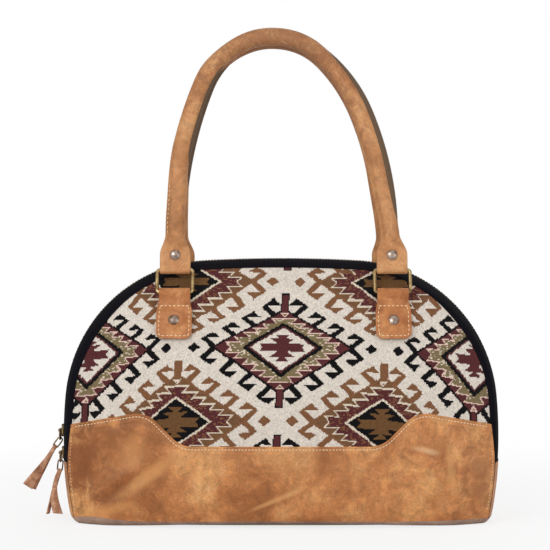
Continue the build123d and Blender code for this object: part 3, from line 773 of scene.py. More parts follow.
@dataclass(frozen=True)
class PlainWeave:
    """Plain woven stuff, such as zip tape, lining or twisted thread: matt, with fine ribs."""

    name: str
    colour: str
    pale: str
    pitch: float = 0.9
    roughness: float = 0.8
    sheen: float = 0.1
    shine: float = 0.12

    def make(self) -> bpy.types.Material:
        """Build the material: a slight change of tone and a fine rib."""
        material, tree, shader = new_material(self.name)
        where = add_node(tree, "ShaderNodeTexCoord").outputs["Object"]
        rib = add_node(tree, "ShaderNodeTexNoise", {
            "Vector": where, "Scale": 1 / (self.pitch * MM), "Detail": 2.0, "Roughness": 0.5})
        tone = mix_colours(tree, rib.outputs["Fac"], linear(self.colour), linear(self.pale))
        tree.links.new(tone, shader.inputs["Base Color"])
        raise_surface(tree, shader, (rib.outputs["Fac"], 0.5, 0.3))
        shader.inputs["Roughness"].default_value = self.roughness
        shader.inputs["Specular IOR Level"].default_value = self.shine
        shader.inputs["Sheen Weight"].default_value = self.sheen
        return material


@dataclass(frozen=True)
class AntiqueBrass:
    """Brass or nickel under a dark antique wash, in clouds between the dark and the rubbed bright tone."""

    name: str = "antique_brass"
    colour: str = "#A48A62"
    dark: str = "#4B3A28"
    grit: float = 3.0
    roughness: float = 0.3

    def make(self) -> bpy.types.Material:
        """Build the material: a metal with clouds of dark wash."""
        material, tree, shader = new_material(self.name)
        where = add_node(tree, "ShaderNodeTexCoord").outputs["Object"]
        wash = add_node(tree, "ShaderNodeTexNoise", {
            "Vector": where, "Scale": 1 / (self.grit * MM), "Detail": 6.0, "Roughness": 0.65})
        share = add_node(tree, "ShaderNodeMapRange", {
            "Value": wash.outputs["Fac"], "From Min": 0.38, "From Max": 0.62})
        tone = mix_colours(tree, share.outputs[0], linear(self.dark), linear(self.colour))
        tree.links.new(tone, shader.inputs["Base Color"])
        rough = add_node(tree, "ShaderNodeMapRange", {
            "Value": share.outputs[0], "To Min": self.roughness + 0.25, "To Max": self.roughness})
        tree.links.new(rough.outputs[0], shader.inputs["Roughness"])
        raise_surface(tree, shader, (wash.outputs["Fac"], 0.15, 0.1))
        shader.inputs["Metallic"].default_value = 1.0
        return material


@dataclass
class Finishes:
    """Every material of the bag, made once."""

    cloth: bpy.types.Material = field(init=False)
    base: bpy.types.Material = field(init=False)
    handle: bpy.types.Material = field(init=False)
    tab: bpy.types.Material = field(init=False)
    pull: bpy.types.Material = field(init=False)
    underside: bpy.types.Material = field(init=False)
    tape: bpy.types.Material = field(init=False)
    thread: bpy.types.Material = field(init=False)
    lining: bpy.types.Material = field(init=False)
    board: bpy.types.Material = field(init=False)
    brass: bpy.types.Material = field(init=False)
    ring: bpy.types.Material = field(init=False)
    rivet: bpy.types.Material = field(init=False)

    def __post_init__(self) -> None:
        """Make each material."""
        self.cloth = Jacquard().make()
        self.base = WaxedLeather(
            "waxed_cowhide_base", "#B67745", "#985E32", "#CB9159", contrast=1.2, patches=(
                Patch(-187, 60, 22, 52, 0.85, "#7E451C", 4),
                Patch(-158, 80, 40, 22, 0.55, "#8F5528", 10),
                # Painted shade in the diagonal fold at the left, and painted highlight beside it and below it
                Patch(-150, 34, 34, 8, 0.5, "#7F4B26", -36),
                Patch(-126, 48, 40, 9, 0.55, "#DA9C5C", -36),
                Patch(-160, 16, 30, 7, 0.5, "#DA9C5C", -20),
                Patch(186, 50, 16, 52, 0.6, "#945E36", -4),
                Patch(134, 73, 16, 4, 0.55, "#E0B688", 14),
                Patch(20, 62, 120, 16, 0.35, "#A46A3C", 4),
                Patch(-168, 92, 34, 8, 0.5, "#7C4822", 8),
                Patch(-138, 72, 14, 22, 0.4, "#CE9156", 24),
                # Painted highlight on the raised crease near x = -75
                Patch(-76, 45, 4, 27, 0.5, "#DDA667", 4),
                # Painted highlight above painted shade, along a slanting fold
                Patch(-6, 27, 36, 3, 0.5, "#DDA86C", -23),
                Patch(-8, 21, 34, 3, 0.35, "#8F5A32", -23),
                # Painted shade and painted highlight beside the creases at the right
                Patch(171, 48, 5, 32, 0.5, "#8C5630", -8),
                Patch(159, 50, 5, 30, 0.45, "#D8A063", -8),
            )).make()
        self.handle = WaxedLeather(
            "waxed_cowhide_handle", "#B87F51", "#9A663A", "#CC9763", cloud=30.0, crease=5.0,
            contrast=0.8, patches=(Patch(0, 440, 105, 105, 0.75, "#8C5A38"),)).make()
        self.tab = WaxedLeather(
            "waxed_cowhide_tab", "#AC6C3C", "#93562A", "#C0824E", cloud=18.0, crease=5.0,
            contrast=0.8).make()
        self.pull = WaxedLeather(
            "waxed_cowhide_pull", "#BC8A6A", "#8E5E42", "#DBB394", cloud=12.0, crease=4.0).make()
        self.underside = WaxedLeather(
            "split_cowhide_underside", "#9C8070", "#846858", "#B19585", cloud=40.0,
            roughness=0.75, contrast=0.7).make()
        self.tape = PlainWeave("zip_tape_polyester", "#0B0A0E", "#17161C", 1.0, 0.95, 0.0, 0.04).make()
        self.thread = PlainWeave("waxed_linen_thread", "#DDBB91", "#F0D8B4", 0.5, 0.6).make()
        self.lining = PlainWeave("cotton_lining", "#5A4838", "#6E5946", 0.8, 0.9).make()
        self.board = PlainWeave("grey_board", "#8A7D6B", "#9B8E7A", 1.5, 0.9).make()
        self.brass = AntiqueBrass().make()
        self.ring = AntiqueBrass("antique_brass_wire", "#C4AA7A", "#7C6442", 9.0, 0.28).make()
        self.rivet = AntiqueBrass("antique_nickel_cap", "#B8A698", "#6B5547", 6.0, 0.32).make()


# The woven design


@dataclass(frozen=True)
class Medallion:
    """One latch-hooked diamond of the cloth: its colours, from the outside in."""

    hook: Yarn
    edge: Yarn
    outer: Yarn
    zigzag: Yarn
    inner: Yarn
    post: Yarn
    star: Yarn
    heart: tuple[float, float]
    star_scale: float
    fleck: Yarn
    flecks: float
    layers: tuple[tuple[float, Yarn], ...]


@dataclass
class KilimDesign:
    """A kilim design of latch-hooked diamonds in two staggered rows, by formula, in millimetres of cloth."""

    period: float = 191.5
    row: float = 69.5
    half_wide: float = 66.5
    half_tall: float = 45.4
    pitch: tuple[float, float] = (-18.3, 12.3)
    teeth: int = 8
    tooth_tip: float = 17.6
    tooth_root: float = 12.6
    line: tuple[float, float] = (2.4, 1.2)
    hooks: int = 4
    cell: float = 0.95
    lozenge: tuple[float, float, float] = (13.1, 6.1, 5.2)
    black: Medallion = Medallion(
        Yarn.BLACK, Yarn.BLACK, Yarn.MAROON, Yarn.PINK, Yarn.OLIVE, Yarn.MAROON, Yarn.MAROON,
        (38.0, 28.9), 1.0, Yarn.ECRU, 0.12, ((0.0, Yarn.BLACK), (3.3, Yarn.MAROON), (5.0, Yarn.CREAM)))
    brown: Medallion = Medallion(
        Yarn.BROWN, Yarn.BROWN, Yarn.UMBER, Yarn.ECRU, Yarn.MAROON, Yarn.BROWN, Yarn.TAUPE,
        (34.8, 24.2), 1.06, Yarn.BROWN, 0.15, ((0.0, Yarn.ECRU), (2.0, Yarn.BLACK)))

    def polygon(self, p: Array, q: Array, corners: list[tuple[float, float]]) -> Array:
        """Which points lie in a polygon."""
        inside = np.zeros(p.shape, bool)
        for (x0, y0), (x1, y1) in zip(corners, corners[1:] + corners[:1]):
            if y0 == y1:
                continue
            crossed = (y0 > q) != (y1 > q)
            inside ^= crossed & (p < (x1 - x0) * (q - y0) / (y1 - y0) + x0)
        return inside

    def hook_shape(self, p: Array, q: Array) -> Array:
        """Which points lie in a latch hook: a slanted stem and a triangular head that turns back."""
        head = [(40.5, 23.3), (53.6, 22.6), (58.8, 21.8), (47.7, 29.6)]
        stem = [(43.5, 14.6), (53.2, 23.2), (58.8, 21.8), (48.2, 11.6)]
        found = np.zeros(p.shape, bool)
        for k in range(-1, self.hooks - 1):
            for shape in (head, stem):
                found |= self.polygon(p - k * self.pitch[0], q - k * self.pitch[1], shape)
        return found

    def tooth(self, p: Array, q: Array) -> Array:
        """Which points lie in the sawteeth along the diamond's sides, flat towards its middle row."""
        step = self.half_tall / self.teeth
        k = np.floor(q / step)
        outer = self.half_wide * (1 - k * step / self.half_tall)
        return p > outer - self.tooth_tip + (self.tooth_tip - self.tooth_root) * (q / step - k)

    def star_shape(self, p: Array, q: Array) -> Array:
        """Which points lie in the stepped star: a notched bar, and two pairs of barbs."""
        bar = (q < 3.9) & (p < 21.6 - 3.2 * (1 - q / 3.9))
        column = (q < 9.2) & (p < 5.4) | (q < 13.3) & (p < 2.4)
        low_barb = (q >= 5.2) & (q < 9.2) & (p < 5.4 + (q - 5.2) * 1.5)
        high_barb = (q >= 9.8) & (q < 13.3) & (p < 2.3 + (q - 9.8) * 1.25)
        return bar | column | low_barb | high_barb

    def fleck(self, u: Array, v: Array) -> Array:
        """A value from 0 to 1 for each short dash of weft, which looks random but is a formula."""
        dash = np.floor(u / (2 * self.cell)) * 12.9898 + np.floor(v / self.cell) * 78.233
        value = np.sin(dash) * 43758.5453
        return value - np.floor(value)

    def draw(self, found: Array, u: Array, v: Array, kind: Medallion) -> None:
        """Draw one medallion about the origin into an array of yarns."""
        p, q = np.abs(u), np.abs(v)
        found[self.hook_shape(p, q)] = kind.hook
        slope = hypot(1 / self.half_wide, 1 / self.half_tall)
        ring = p / self.half_wide + q / self.half_tall
        body = ring < 1
        found[body] = kind.inner
        fleck = self.fleck(u, v) < kind.flecks
        found[body & fleck] = kind.fleck
        found[body & self.tooth(p + self.line[0], q + self.line[1])] = kind.zigzag
        found[body & self.tooth(p, q)] = kind.outer
        found[body & (ring > 1 - 2.0 * slope)] = kind.edge
        post = (p < 4.0) & (q >= self.half_tall - 4) & (q < 57.6)
        found[post] = kind.hook
        found[post & (p < 2.9) & (q < 56.4)] = kind.post
        wide, tall = kind.heart
        heart, fall = p / wide + q / tall, hypot(1 / wide, 1 / tall)
        for depth, yarn in kind.layers:
            found[heart < 1 - depth * fall] = yarn
        star = self.star_shape(p / kind.star_scale, q / kind.star_scale)
        found[star & (heart < 1 - 4 * fall)] = kind.star

    def yarns(self, u: Array, v: Array) -> Array:
        """The yarn on the face of the cloth at each point, snapped to the cells of the weave."""
        u = (np.floor(u / self.cell) + 0.5) * self.cell
        v = (np.floor(v / self.cell) + 0.5) * self.cell
        found = np.full(u.shape, int(Yarn.CREAM))
        for kind, shift in ((self.black, 0.0), (self.brown, 1.0)):
            across = (u - shift * self.period / 2 + self.period / 2) % self.period - self.period / 2
            up = (v - shift * self.row + self.row) % (2 * self.row) - self.row
            self.draw(found, across, up, kind)
            between = np.where(across > 0, across - self.period / 2, across + self.period / 2)
            off, wide, tall = self.lozenge
            found[np.abs(np.abs(between) - off) / wide + np.abs(up) / tall < 1] = kind.hook
        return found


class ClothMap:
    """Lays flat cloth on the bag: lengths along the surface, with the slant that the cloth was cut at.

    The rows bow and tilt, the columns slant, and the row above the middle is lifted. Near the side seams
    the cloth is gathered across and stretched upwards, a little more on the right.
    """

    step = 1.0
    half_wide, tall = 214, 256
    middle_z, shift = 172.9, 1.1
    bow, tilt, slant = 2.63e-4, 0.0117, 0.0592
    lift = 5.0
    drawn_from, drawn_to = 95, 190
    gathered, drawn_up = 6.5, 3.0
    stretched, uneven = 0.15, 0.25

    def __init__(self, form: DomeForm) -> None:
        """Add up the surface's lengths across and up the bag."""
        self.xs = np.arange(-self.half_wide, self.half_wide + self.step, self.step)
        self.zs = np.arange(0, self.tall + self.step, self.step)
        x, z = np.meshgrid(self.xs, self.zs)
        depth = form.depth(x, z)
        across = np.sqrt(1 + np.gradient(depth, self.xs, axis=1) ** 2)
        up = np.sqrt(1 + np.gradient(depth, self.zs, axis=0) ** 2)
        self.across = np.cumsum(across, axis=1) * self.step
        self.across -= self.across[:, [len(self.xs) // 2]]
        self.up = np.cumsum(up, axis=0) * self.step

    def sample(self, table: Array, x: Array, z: Array) -> Array:
        """Read a table between its points."""
        i = np.clip((x - self.xs[0]) / self.step, 0, len(self.xs) - 1.001)
        j = np.clip((z - self.zs[0]) / self.step, 0, len(self.zs) - 1.001)
        i0, j0 = i.astype(int), j.astype(int)
        fi, fj = i - i0, j - j0
        low = table[j0, i0] * (1 - fi) + table[j0, i0 + 1] * fi
        high = table[j0 + 1, i0] * (1 - fi) + table[j0 + 1, i0 + 1] * fi
        return low * (1 - fj) + high * fj

    def cloth(self, x: Array, z: Array) -> tuple[Array, Array]:
        """Cloth coordinates of places on the front, measured from the middle medallion.

        Args:
            x: Places across the bag.
            z: Heights.

        Returns:
            Millimetres of cloth across and up.
        """
        a, b = self.sample(self.across, x, z), self.sample(self.up, x, z)
        v = b - self.middle_z + self.bow * a * a + self.tilt * a
        u = a - self.shift - self.slant * v
        drawn = smooth(self.drawn_from, self.drawn_to, np.abs(a))
        u = u + np.sign(a) * self.gathered * drawn
        v = (v + self.drawn_up * drawn) * (1 - self.stretched * drawn * (1 + self.uneven * np.sign(a)))
        row = KilimDesign.row
        return u, v + np.where((v > 0) & (v < row), self.lift * np.sin(np.pi * v / row) ** 2, 0.0)


# Pieces of the bag


@dataclass
class Stitching:
    """Rows of thread: one stitch is modelled, and then copied along each seam."""

    long: float = 3.1
    thick: float = 0.75
    pitch: float = 4.4

    def stitch(self) -> bpy.types.Object:
        """One stitch along X: a plump thread that dips into the leather at both ends."""
        deselect()
        bpy.ops.mesh.primitive_uv_sphere_add(segments=8, ring_count=6, radius=0.5)
        made = bpy.context.active_object
        edit(made, lambda: bpy.ops.transform.rotate(value=pi / 2, orient_axis="Y",
                                                    center_override=(0, 0, 0)))
        at = points_of(made) * MM
        round_off = np.sqrt(np.clip(1 - (1.7 * at[:, 0]) ** 6, 0.1, 1))
        at = np.stack([at[:, 0] * self.long, at[:, 1] * self.thick * round_off,
                       at[:, 2] * self.thick * round_off - 0.9 * at[:, 0] ** 2 * self.thick], axis=1)
        move_points(made, at)
        return made

    def sew(self, name: str, seams: list[tuple[Array, Array, Array]], body: str,
            finish: Finishes) -> bpy.types.Object:
        """Sew seams that are given as lines in space.

        Args:
            name: Name of the joined stitches.
            seams: For each seam its points, directions and outward normals, in millimetres.
            body: The body that they move with.
            finish: The bag's materials.

        Returns:
            All the stitches as one piece.
        """
        frames = [axes(at, way, out) for points, ways, outs in seams
                  for at, way, out in zip(points, ways, outs)]
        made = repeat(name, self.stitch(), frames)
        dress(made, finish.thread)
        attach(made, body)
        return made

    def on_form(self, line: Array, stand: float, side: Side) -> tuple[Array, Array, Array]:
        """A seam on the front or back, from its line seen from the front.

        Args:
            line: X and Z along the seam.
            stand: How far the thread stands off the cloth.
            side: Front or back.

        Returns:
            Points, directions and normals.
        """
        step = 0.4
        flat, way = spaced(line, self.pitch)
        points = FORM.skin(flat[:, 0], flat[:, 1], stand, side)
        ahead = flat + way * step
        ways = FORM.skin(ahead[:, 0], ahead[:, 1], stand, side) - points
        return points, ways, FORM.normal(flat[:, 0], flat[:, 1], side)


@dataclass(frozen=True)
class Crease:
    """A crease that runs up the base's leather: where, how it leans, how wide it is and how far it stands."""

    x: float
    lean: float
    wide: float
    stand: float


@dataclass
class Shell:
    """The bag's body: woven panels, leather base, zip band, gussets and bottom.

    The seam round the bottom is pulled up at one corner, by corner_pull: its X, its width and its rise.
    """

    finish: Finishes
    cell: float = 0.97
    cloth_under: float = 3.0
    hem: float = 2.0
    leather_proud: float = 1.2
    bottom_rise: float = 6.0
    zip_end: float = 57.0
    zip_gap: float = 2.2
    cloth_low: float = 70.0
    tray_half: float = 195.0
    arch_half: float = 170.0
    arch_rise: float = 4.0
    arch_start: float = 20.0
    arch_full: float = 66.0
    seam_thin: float = 3.0
    corner_pull: tuple[float, float, float] = (-178.0, 22.0, 2.6)
    binding_wide: float = 4.4
    binding_least: float = 0.8
    creases: tuple[Crease, ...] = (
        Crease(176.0, 0.12, 4.5, -1.5), Crease(189.0, 0.15, 4.0, 1.1), Crease(-186.0, -0.1, 5.0, -1.2),
        Crease(-75.0, 0.05, 2.5, 0.7), Crease(150.0, -0.1, 7.0, -0.9), Crease(60.0, 0.3, 9.0, 0.8))
    crease_level: float = 45.0
    cloth_map: ClothMap = field(init=False)
    design: KilimDesign = field(init=False)

    def __post_init__(self) -> None:
        """Prepare the cloth."""
        self.cloth_map = ClothMap(FORM)
        self.design = KilimDesign()

    def build(self) -> None:
        """Build every piece of the body."""
        for side in Side:
            self.panel(side)
            self.base(side)
            self.zip_tape(side)
            self.teeth(side)
        for hand in Hand:
            self.gusset(hand)
        self.bottom()
        for node, material in (("lining_front", self.finish.lining), ("lining_back", self.finish.lining),
                               ("base_board", self.finish.board)):
            dress(frame["nodes"][node], material)

    def panel(self, side: Side) -> None:
        """A woven panel: cells of the weave on the dome, cut to the seam, with their yarns."""
        wide, low, high = FORM.half_width - FORM.inset + 1, self.cloth_low, FORM.height - FORM.inset + 1
        columns, rows = int(2 * wide / self.cell), int((high - low) / self.cell)
        piece = sheet_of(
            f"woven_panel_{side.label}", columns, rows,
            lambda u, v: np.stack([(2 * u - 1) * wide, 0 * u, low + (high - low) * v], axis=1),
            flip=side is Side.BACK)
        self.trim(piece)
        at = points_of(piece)
        self.paint(piece, at)
        x, z = at[:, 0], at[:, 2]
        move_points(piece, FORM.skin(x, z, self.ease(x, z), side))
        extrude_rim(piece, (0, -side.value * self.hem * MM, 0))
        choose(piece)
        bpy.ops.object.shade_smooth()
        dress(piece, self.finish.cloth)
        motifs = [node for node in frame["nodes"]
                  if node.startswith("motif_") and node.endswith(side.label)]
        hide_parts(f"panel_{side.label}", *motifs)
        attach(piece, "bag")
        LOG.info("%s has %d faces", piece.name, len(piece.data.polygons))

    def trim(self, piece: bpy.types.Object) -> None:
        """Delete the cells outside the panel and draw the edge of the rest on to the seam."""
        at = points_of(piece)
        mesh = piece.data
        corners = np.empty(len(mesh.polygons) * 4, int)
        mesh.polygons.foreach_get("vertices", corners)
        middle = at[corners.reshape(-1, 4)].mean(axis=1)
        gap, _, _ = FORM.inside(middle[:, 0], middle[:, 2])
        low = EDGE.height(middle[:, 0]) - self.cloth_under * EDGE.slant(middle[:, 0])
        outside = (gap < FORM.inset) | (middle[:, 2] < low)
        choose(piece)
        bpy.ops.object.mode_set(mode="EDIT")
        bpy.ops.mesh.select_mode(type="FACE")
        bpy.ops.object.mode_set(mode="OBJECT")
        mesh.polygons.foreach_set("select", outside)
        bpy.ops.object.mode_set(mode="EDIT")
        bpy.ops.mesh.delete(type="FACE")
        bpy.ops.object.mode_set(mode="OBJECT")
        at = points_of(piece)
        gap, out_x, out_z = FORM.inside(at[:, 0], at[:, 2])
        rim = self.rim_points(piece)
        move = np.where(rim & (gap < FORM.inset + self.cell), gap - FORM.inset, 0.0)
        at[:, 0] += move * out_x
        at[:, 2] += move * out_z
        move_points(piece, at)

    def rim_points(self, piece: bpy.types.Object) -> Array:
        """Which vertices of a piece lie on its open edge."""
        mesh = piece.data
        edge_of = np.empty(len(mesh.loops), int)
        mesh.loops.foreach_get("edge_index", edge_of)
        count = np.bincount(edge_of, minlength=len(mesh.edges))
        ends = np.empty(len(mesh.edges) * 2, int)
        mesh.edges.foreach_get("vertices", ends)
        found = np.zeros(len(mesh.vertices), bool)
        found[ends.reshape(-1, 2)[count == 1].ravel()] = True
        return found

    def paint(self, piece: bpy.types.Object, at: Array) -> None:
        """Give each cell its yarn's colour, and each corner its place on the cloth.

        Args:
            piece: The flat panel, before it is laid on the dome.
            at: Its vertices in millimetres.
        """
        mesh = piece.data
        colours = {
            Yarn.CREAM: "#D9CFC3", Yarn.BLACK: "#0B090C", Yarn.MAROON: "#562A2C", Yarn.OLIVE: "#7B6C4E",
            Yarn.BROWN: "#7D5539", Yarn.PINK: "#DDBDB0", Yarn.ECRU: "#D6C8B4", Yarn.TAUPE: "#6A4B2D",
            Yarn.UMBER: "#735138",
        }
        palette = np.array([linear(colours[yarn]) for yarn in Yarn])
        corners = np.empty(len(mesh.loops), int)
        mesh.loops.foreach_get("vertex_index", corners)
        middle = at[corners.reshape(-1, 4)].mean(axis=1)
        u, v = self.cloth_map.cloth(middle[:, 0], middle[:, 2])
        tone = palette[self.design.yarns(u, v)]
        spread, least, most = 0.08, 0.7, 1.25
        dark_share, dark = 0.05, 0.8
        random = np.random.default_rng(SEED)
        tone[:, :3] *= random.normal(1.0, spread, (len(tone), 1)).clip(least, most)
        tone[:, :3] *= np.where(random.random((len(tone), 1)) < dark_share, dark, 1.0)
        layer = mesh.color_attributes.new(name="yarn", type="FLOAT_COLOR", domain="CORNER")
        layer.data.foreach_set("color", np.repeat(tone, 4, axis=0).ravel())
        u, v = self.cloth_map.cloth(at[:, 0], at[:, 2])
        while mesh.uv_layers:
            mesh.uv_layers.remove(mesh.uv_layers[0])
        plan = mesh.uv_layers.new(name="cloth")
        plan.data.foreach_set("uv", (np.stack([u, v], axis=1)[corners] * MM).ravel())

    def ease(self, x: Array, z: Array) -> Array:
        """Slight waves of the cloth between its seams, none at the seams."""
        gap, _, _ = FORM.inside(x, z)
        free = smooth(FORM.inset, FORM.inset + 40, gap) * smooth(0, 30, z - EDGE.height(x))
        return free * (0.9 * np.sin(x / 37 + 1.0) * np.sin(z / 29 + 0.6) + 0.5 * np.sin(x / 17 - z / 23))

    def base(self, side: Side) -> None:
        """The leather base: a thick skin with a folded top edge, a stitch groove and its creases."""
        drops = np.array([-1.0, -0.4, 0.0, 0.25, 0.6, 1.1, 1.7, 2.2, 2.7, 3.2, 4.0, 5.5, 7.5])
        stands = np.array([-1.6, -0.4, 0.35, 0.8, 1.1, 1.2, 1.1, 0.75, 0.65, 0.8, 1.15, 1.25, 1.2])
        fine, coarse = len(drops), 46
        rows = fine + coarse - 1
        columns = 300

        def place(u: Array, v: Array) -> Array:
            """Carry the grid to the leather: fine rows at the top edge and even ones below."""
            row = np.rint(v * rows).astype(int)
            share = 2 * u - 1
            seam_low = self.seam_height(share * self.tray_half)
            first_guess, rounds = 90.0, 6
            x = share * (FORM.width_at(first_guess) - FORM.inset)
            for _ in range(rounds):
                top = EDGE.height(x)
                edge_row = rows - row
                drop = np.where(edge_row < fine, drops[np.clip(edge_row, 0, fine - 1)], 0.0)
                slanted = top - drop * EDGE.slant(x)
                start = top - drops[-1] * EDGE.slant(x)
                even = seam_low + (start - seam_low) * (row / (coarse - 1.0))
                z = np.where(edge_row < fine, slanted, even)
                x = share * self.side_limit(z)
            stand = np.where(edge_row < fine, stands[np.clip(edge_row, 0, fine - 1)], self.leather_proud)
            return FORM.skin(x, z, stand + self.folds(x, z, side), side)

        piece = sheet_of(f"leather_base_{side.label}", columns, rows, place, flip=side is Side.BACK)
        dress(piece, self.finish.base)
        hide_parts(f"base_{side.label}")
        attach(piece, "bag")
        limit = FORM.half_width - FORM.inset - 8
        xs = np.linspace(-limit, limit, columns)
        sewn = np.stack([xs, EDGE.height(xs) - 2.7 * EDGE.slant(xs)], axis=1)
        zs = np.linspace(14, 84, 60)
        sides = [np.stack([hand.value * (self.side_limit(zs) - 2.4), zs], axis=1) for hand in Hand]
        stitching = Stitching(long=2.5, thick=1.05, pitch=3.1)
        stitching.sew(f"base_stitches_{side.label}", [
            stitching.on_form(line, 0.85, side) for line in (sewn, *sides)], "bag", self.finish)

    def binding(self, z: Array) -> Array:
        """How far the zip band is folded over the front's edge, at each height."""
        return self.binding_wide * smooth(50, 105, z) * smooth(255, 190, z) + self.binding_least

    def side_limit(self, z: Array) -> Array:
        """Half-width of the base's leather at each height, up to the zip band's folded edge."""
        low = FORM.width_at(np.minimum(z, FORM.widest)) - FORM.inset
        above = np.maximum(z - FORM.widest, 0)
        high = FORM.half_width - FORM.inset - above**2 / (2 * FORM.side_radius)
        return np.where(z > FORM.widest, high, low) - self.binding(z) + self.binding_least

    def seam_height(self, x: Array) -> Array:
        """Height of the seam above the floor: arched, thin in the middle, pulled up at the left corner."""
        x = np.asarray(x, float)
        thin = self.seam_thin * np.clip(1 - (x / self.arch_half) ** 2, 0, 1)
        at_x, wide, pull = self.corner_pull
        return self.bottom_rise + self.arch(x) - thin + pull * np.exp(-((x - at_x) / wide) ** 2)

    def arch(self, x: Array) -> Array:
        """How far the bottom's long edges lift between the corners."""
        return self.arch_rise * np.clip(1 - (np.asarray(x) / self.arch_half) ** 2, 0, 1) ** 1.3

    def lift_at(self, x: Array, y: Array) -> Array:
        """How far the bottom lifts at a place, which fades towards the middle plane."""
        return self.arch(x) * smooth(self.arch_start, self.arch_full, np.abs(y))

    def folds(self, x: Array, z: Array, side: Side) -> Array:
        """Soft folds of the leather, square to the cloth, none along its edges."""
        gap, _, _ = FORM.inside(x, np.maximum(z, 1.0))
        free = smooth(FORM.inset, FORM.inset + 14, gap)
        free = free * smooth(4, 22, EDGE.height(x) - z) * smooth(4, 20, z)
        wave = 0.7 * np.sin(x / 31 + 0.4 * side.value) * np.sin(z / 17 + 1.1)
        for crease in self.creases:
            off = ((x - crease.x) - crease.lean * (z - self.crease_level)) / crease.wide
            wave += crease.stand * np.exp(-off**2) * smooth(0, 20, z)
        lean, middle_x, middle_z = radians(34), -152, 40
        half, long, deep = 5.0, 30.0, 2.6
        along = (x - middle_x) * cos(lean) + (z - middle_z) * sin(lean)
        off = -(x - middle_x) * sin(lean) + (z - middle_z) * cos(lean)
        wave += deep * (off / half) * np.exp(0.5 - 0.5 * (off / half) ** 2) * np.exp(-(along / long) ** 2)
        return free * wave

    def band(self, name: str, low: float, high: float, near: float, side: Side,
             columns: int) -> bpy.types.Object:
        """A strip of the band round the dome, from a line near the middle to the seam.

        Args:
            name: Name of the new piece.
            low: Length along the outline where the strip starts.
            high: Length where it ends.
            near: Distance of its inner line from the middle plane.
            side: Front or back half.
            columns: Faces along the strip.

        Returns:
            The strip.
        """
        across, folded = 12, 5
        rows = across + folded

        def place(u: Array, v: Array) -> Array:
            """Carry the grid to the crowned band, with its last rows folded over the front's edge."""
            row = v * rows
            x, z, ox, oz = FORM.outline(low + (high - low) * u)
            rim = FORM.depth(x - FORM.inset * ox, z - FORM.inset * oz) + 0.5
            share = np.clip(row / across, 0, 1)
            y = near + (rim - near) * share
            fall = FORM.inset * (y / rim) ** 2
            over = np.clip((row - across) / (folded - 1), 0, 1)
            inset = FORM.inset + over * self.binding(z)
            lift = 0.45 + 0.5 * np.sin(pi * over) * smooth(85, 100, z) - 2.0 * (row > rows - 0.5)
            on_front = FORM.depth(x - inset * ox, z - inset * oz) + lift
            fall = np.where(row > across, inset, fall)
            y = np.where(row > across, on_front, y)
            return np.stack([x - fall * ox, side.value * y, z - fall * oz], axis=1)

        return sheet_of(name, columns, rows, place, flip=side is Side.BACK)

    def zip_tape(self, side: Side) -> None:
        """One tape of the zip, from the teeth to its fold over the front's edge."""
        start = FORM.length_at(self.zip_end)
        piece = self.band(
            f"zip_band_{side.label}", start, 2 * FORM.length - start, self.zip_gap, side, columns=360)
        dress(piece, self.finish.tape)
        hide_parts(f"zip_tape_{side.label}")
        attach(piece, "bag")

    def gusset(self, hand: Hand) -> None:
        """The leather below one end of the zip, front and back halves in one piece."""
        tucked_up, tucked_down = 1.5, 2.8
        end = FORM.length_at(self.zip_end + tucked_up)
        foot = FORM.length_at(self.bottom_rise - tucked_down)
        whole = 2 * FORM.length
        low, high = (foot, end) if hand is Hand.LEFT else (whole - end, whole - foot)

        def place(u: Array, v: Array) -> Array:
            """Carry the grid across the band from the front seam to the back one."""
            x, z, ox, oz = FORM.outline(low + (high - low) * u)
            rim = FORM.depth(x - FORM.inset * ox, z - FORM.inset * oz) + 0.8
            share = 2 * v - 1
            fall = FORM.inset * share**2 - 0.6
            return np.stack([x - fall * ox, share * rim, z - fall * oz], axis=1)

        piece = sheet_of(f"gusset_{hand.label}", columns=40, rows=28, place=place, flip=True)
        dress(piece, self.finish.base)
        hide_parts(f"side_gusset_{hand.label}")
        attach(piece, "bag")

    def teeth(self, side: Side) -> None:
        """The zip's teeth on one tape, from the frame, with a metal finish."""
        piece = smooth_copy(f"teeth_{side.label}", f"zip_teeth_{side.label}")
        finish_with(piece, "BEVEL", width=0.35 * MM, segments=2, limit_method="ANGLE")
        dress(piece, self.finish.brass)
        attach(piece, "bag")

    def bottom(self) -> None:
        """The bottom: a tray of split leather that rolls up to the seam, arched along its long sides."""
        insets = np.array([0.0, 0.9, 2.2, 4.0, 6.5])
        heights = np.array([1.0, 0.62, 0.3, 0.1, 0.0])
        levels, rings = len(insets), 14
        rows = levels + rings - 1
        columns = 240

        def rim_at(share: Array) -> tuple[Array, Array, Array]:
            """X, Y and height of the seam round the bottom."""
            leg = np.floor(share * 4) % 4
            t = share * 4 - np.floor(share * 4)
            overlap = 0.9
            seam = float(FORM.width_at(self.bottom_rise)) - FORM.inset + overlap
            x_long = seam * (2 * t - 1)
            y_long = FORM.depth(x_long, self.seam_height(x_long)) + self.leather_proud
            end_y = float(FORM.depth(seam, self.bottom_rise)) + self.leather_proud
            turn = pi * (t - 0.5)
            x_end = seam + FORM.inset * np.cos(turn) ** 2
            y_end = end_y * np.sin(turn)
            x = np.select([leg == 0, leg == 1, leg == 2], [x_long, x_end, -x_long], -x_end)
            y = np.select([leg == 0, leg == 1, leg == 2], [-y_long, y_end, y_long], -y_end)
            return x, y, self.seam_height(x)

        def place(u: Array, v: Array) -> Array:
            """Carry the grid from the seam down the roll and in to the middle."""
            row = np.rint(v * rows).astype(int)
            x, y, top = rim_at(np.minimum(u, 1 - 1e-9))
            lift = self.lift_at(x, y)
            at = np.clip(row, 0, levels - 1)
            inset = insets[at]
            inward = np.clip((row - levels + 1) / rings, 0, 1)
            x_in = x * (1 - inset / self.tray_half) * (1 - inward)
            y_in = y * (1 - inset / np.maximum(abs(y), 12)) * (1 - inward)
            z = np.where(row < levels, lift + (top - lift) * heights[at], self.lift_at(x_in, y_in))
            return np.stack([x_in, y_in, z], axis=1)

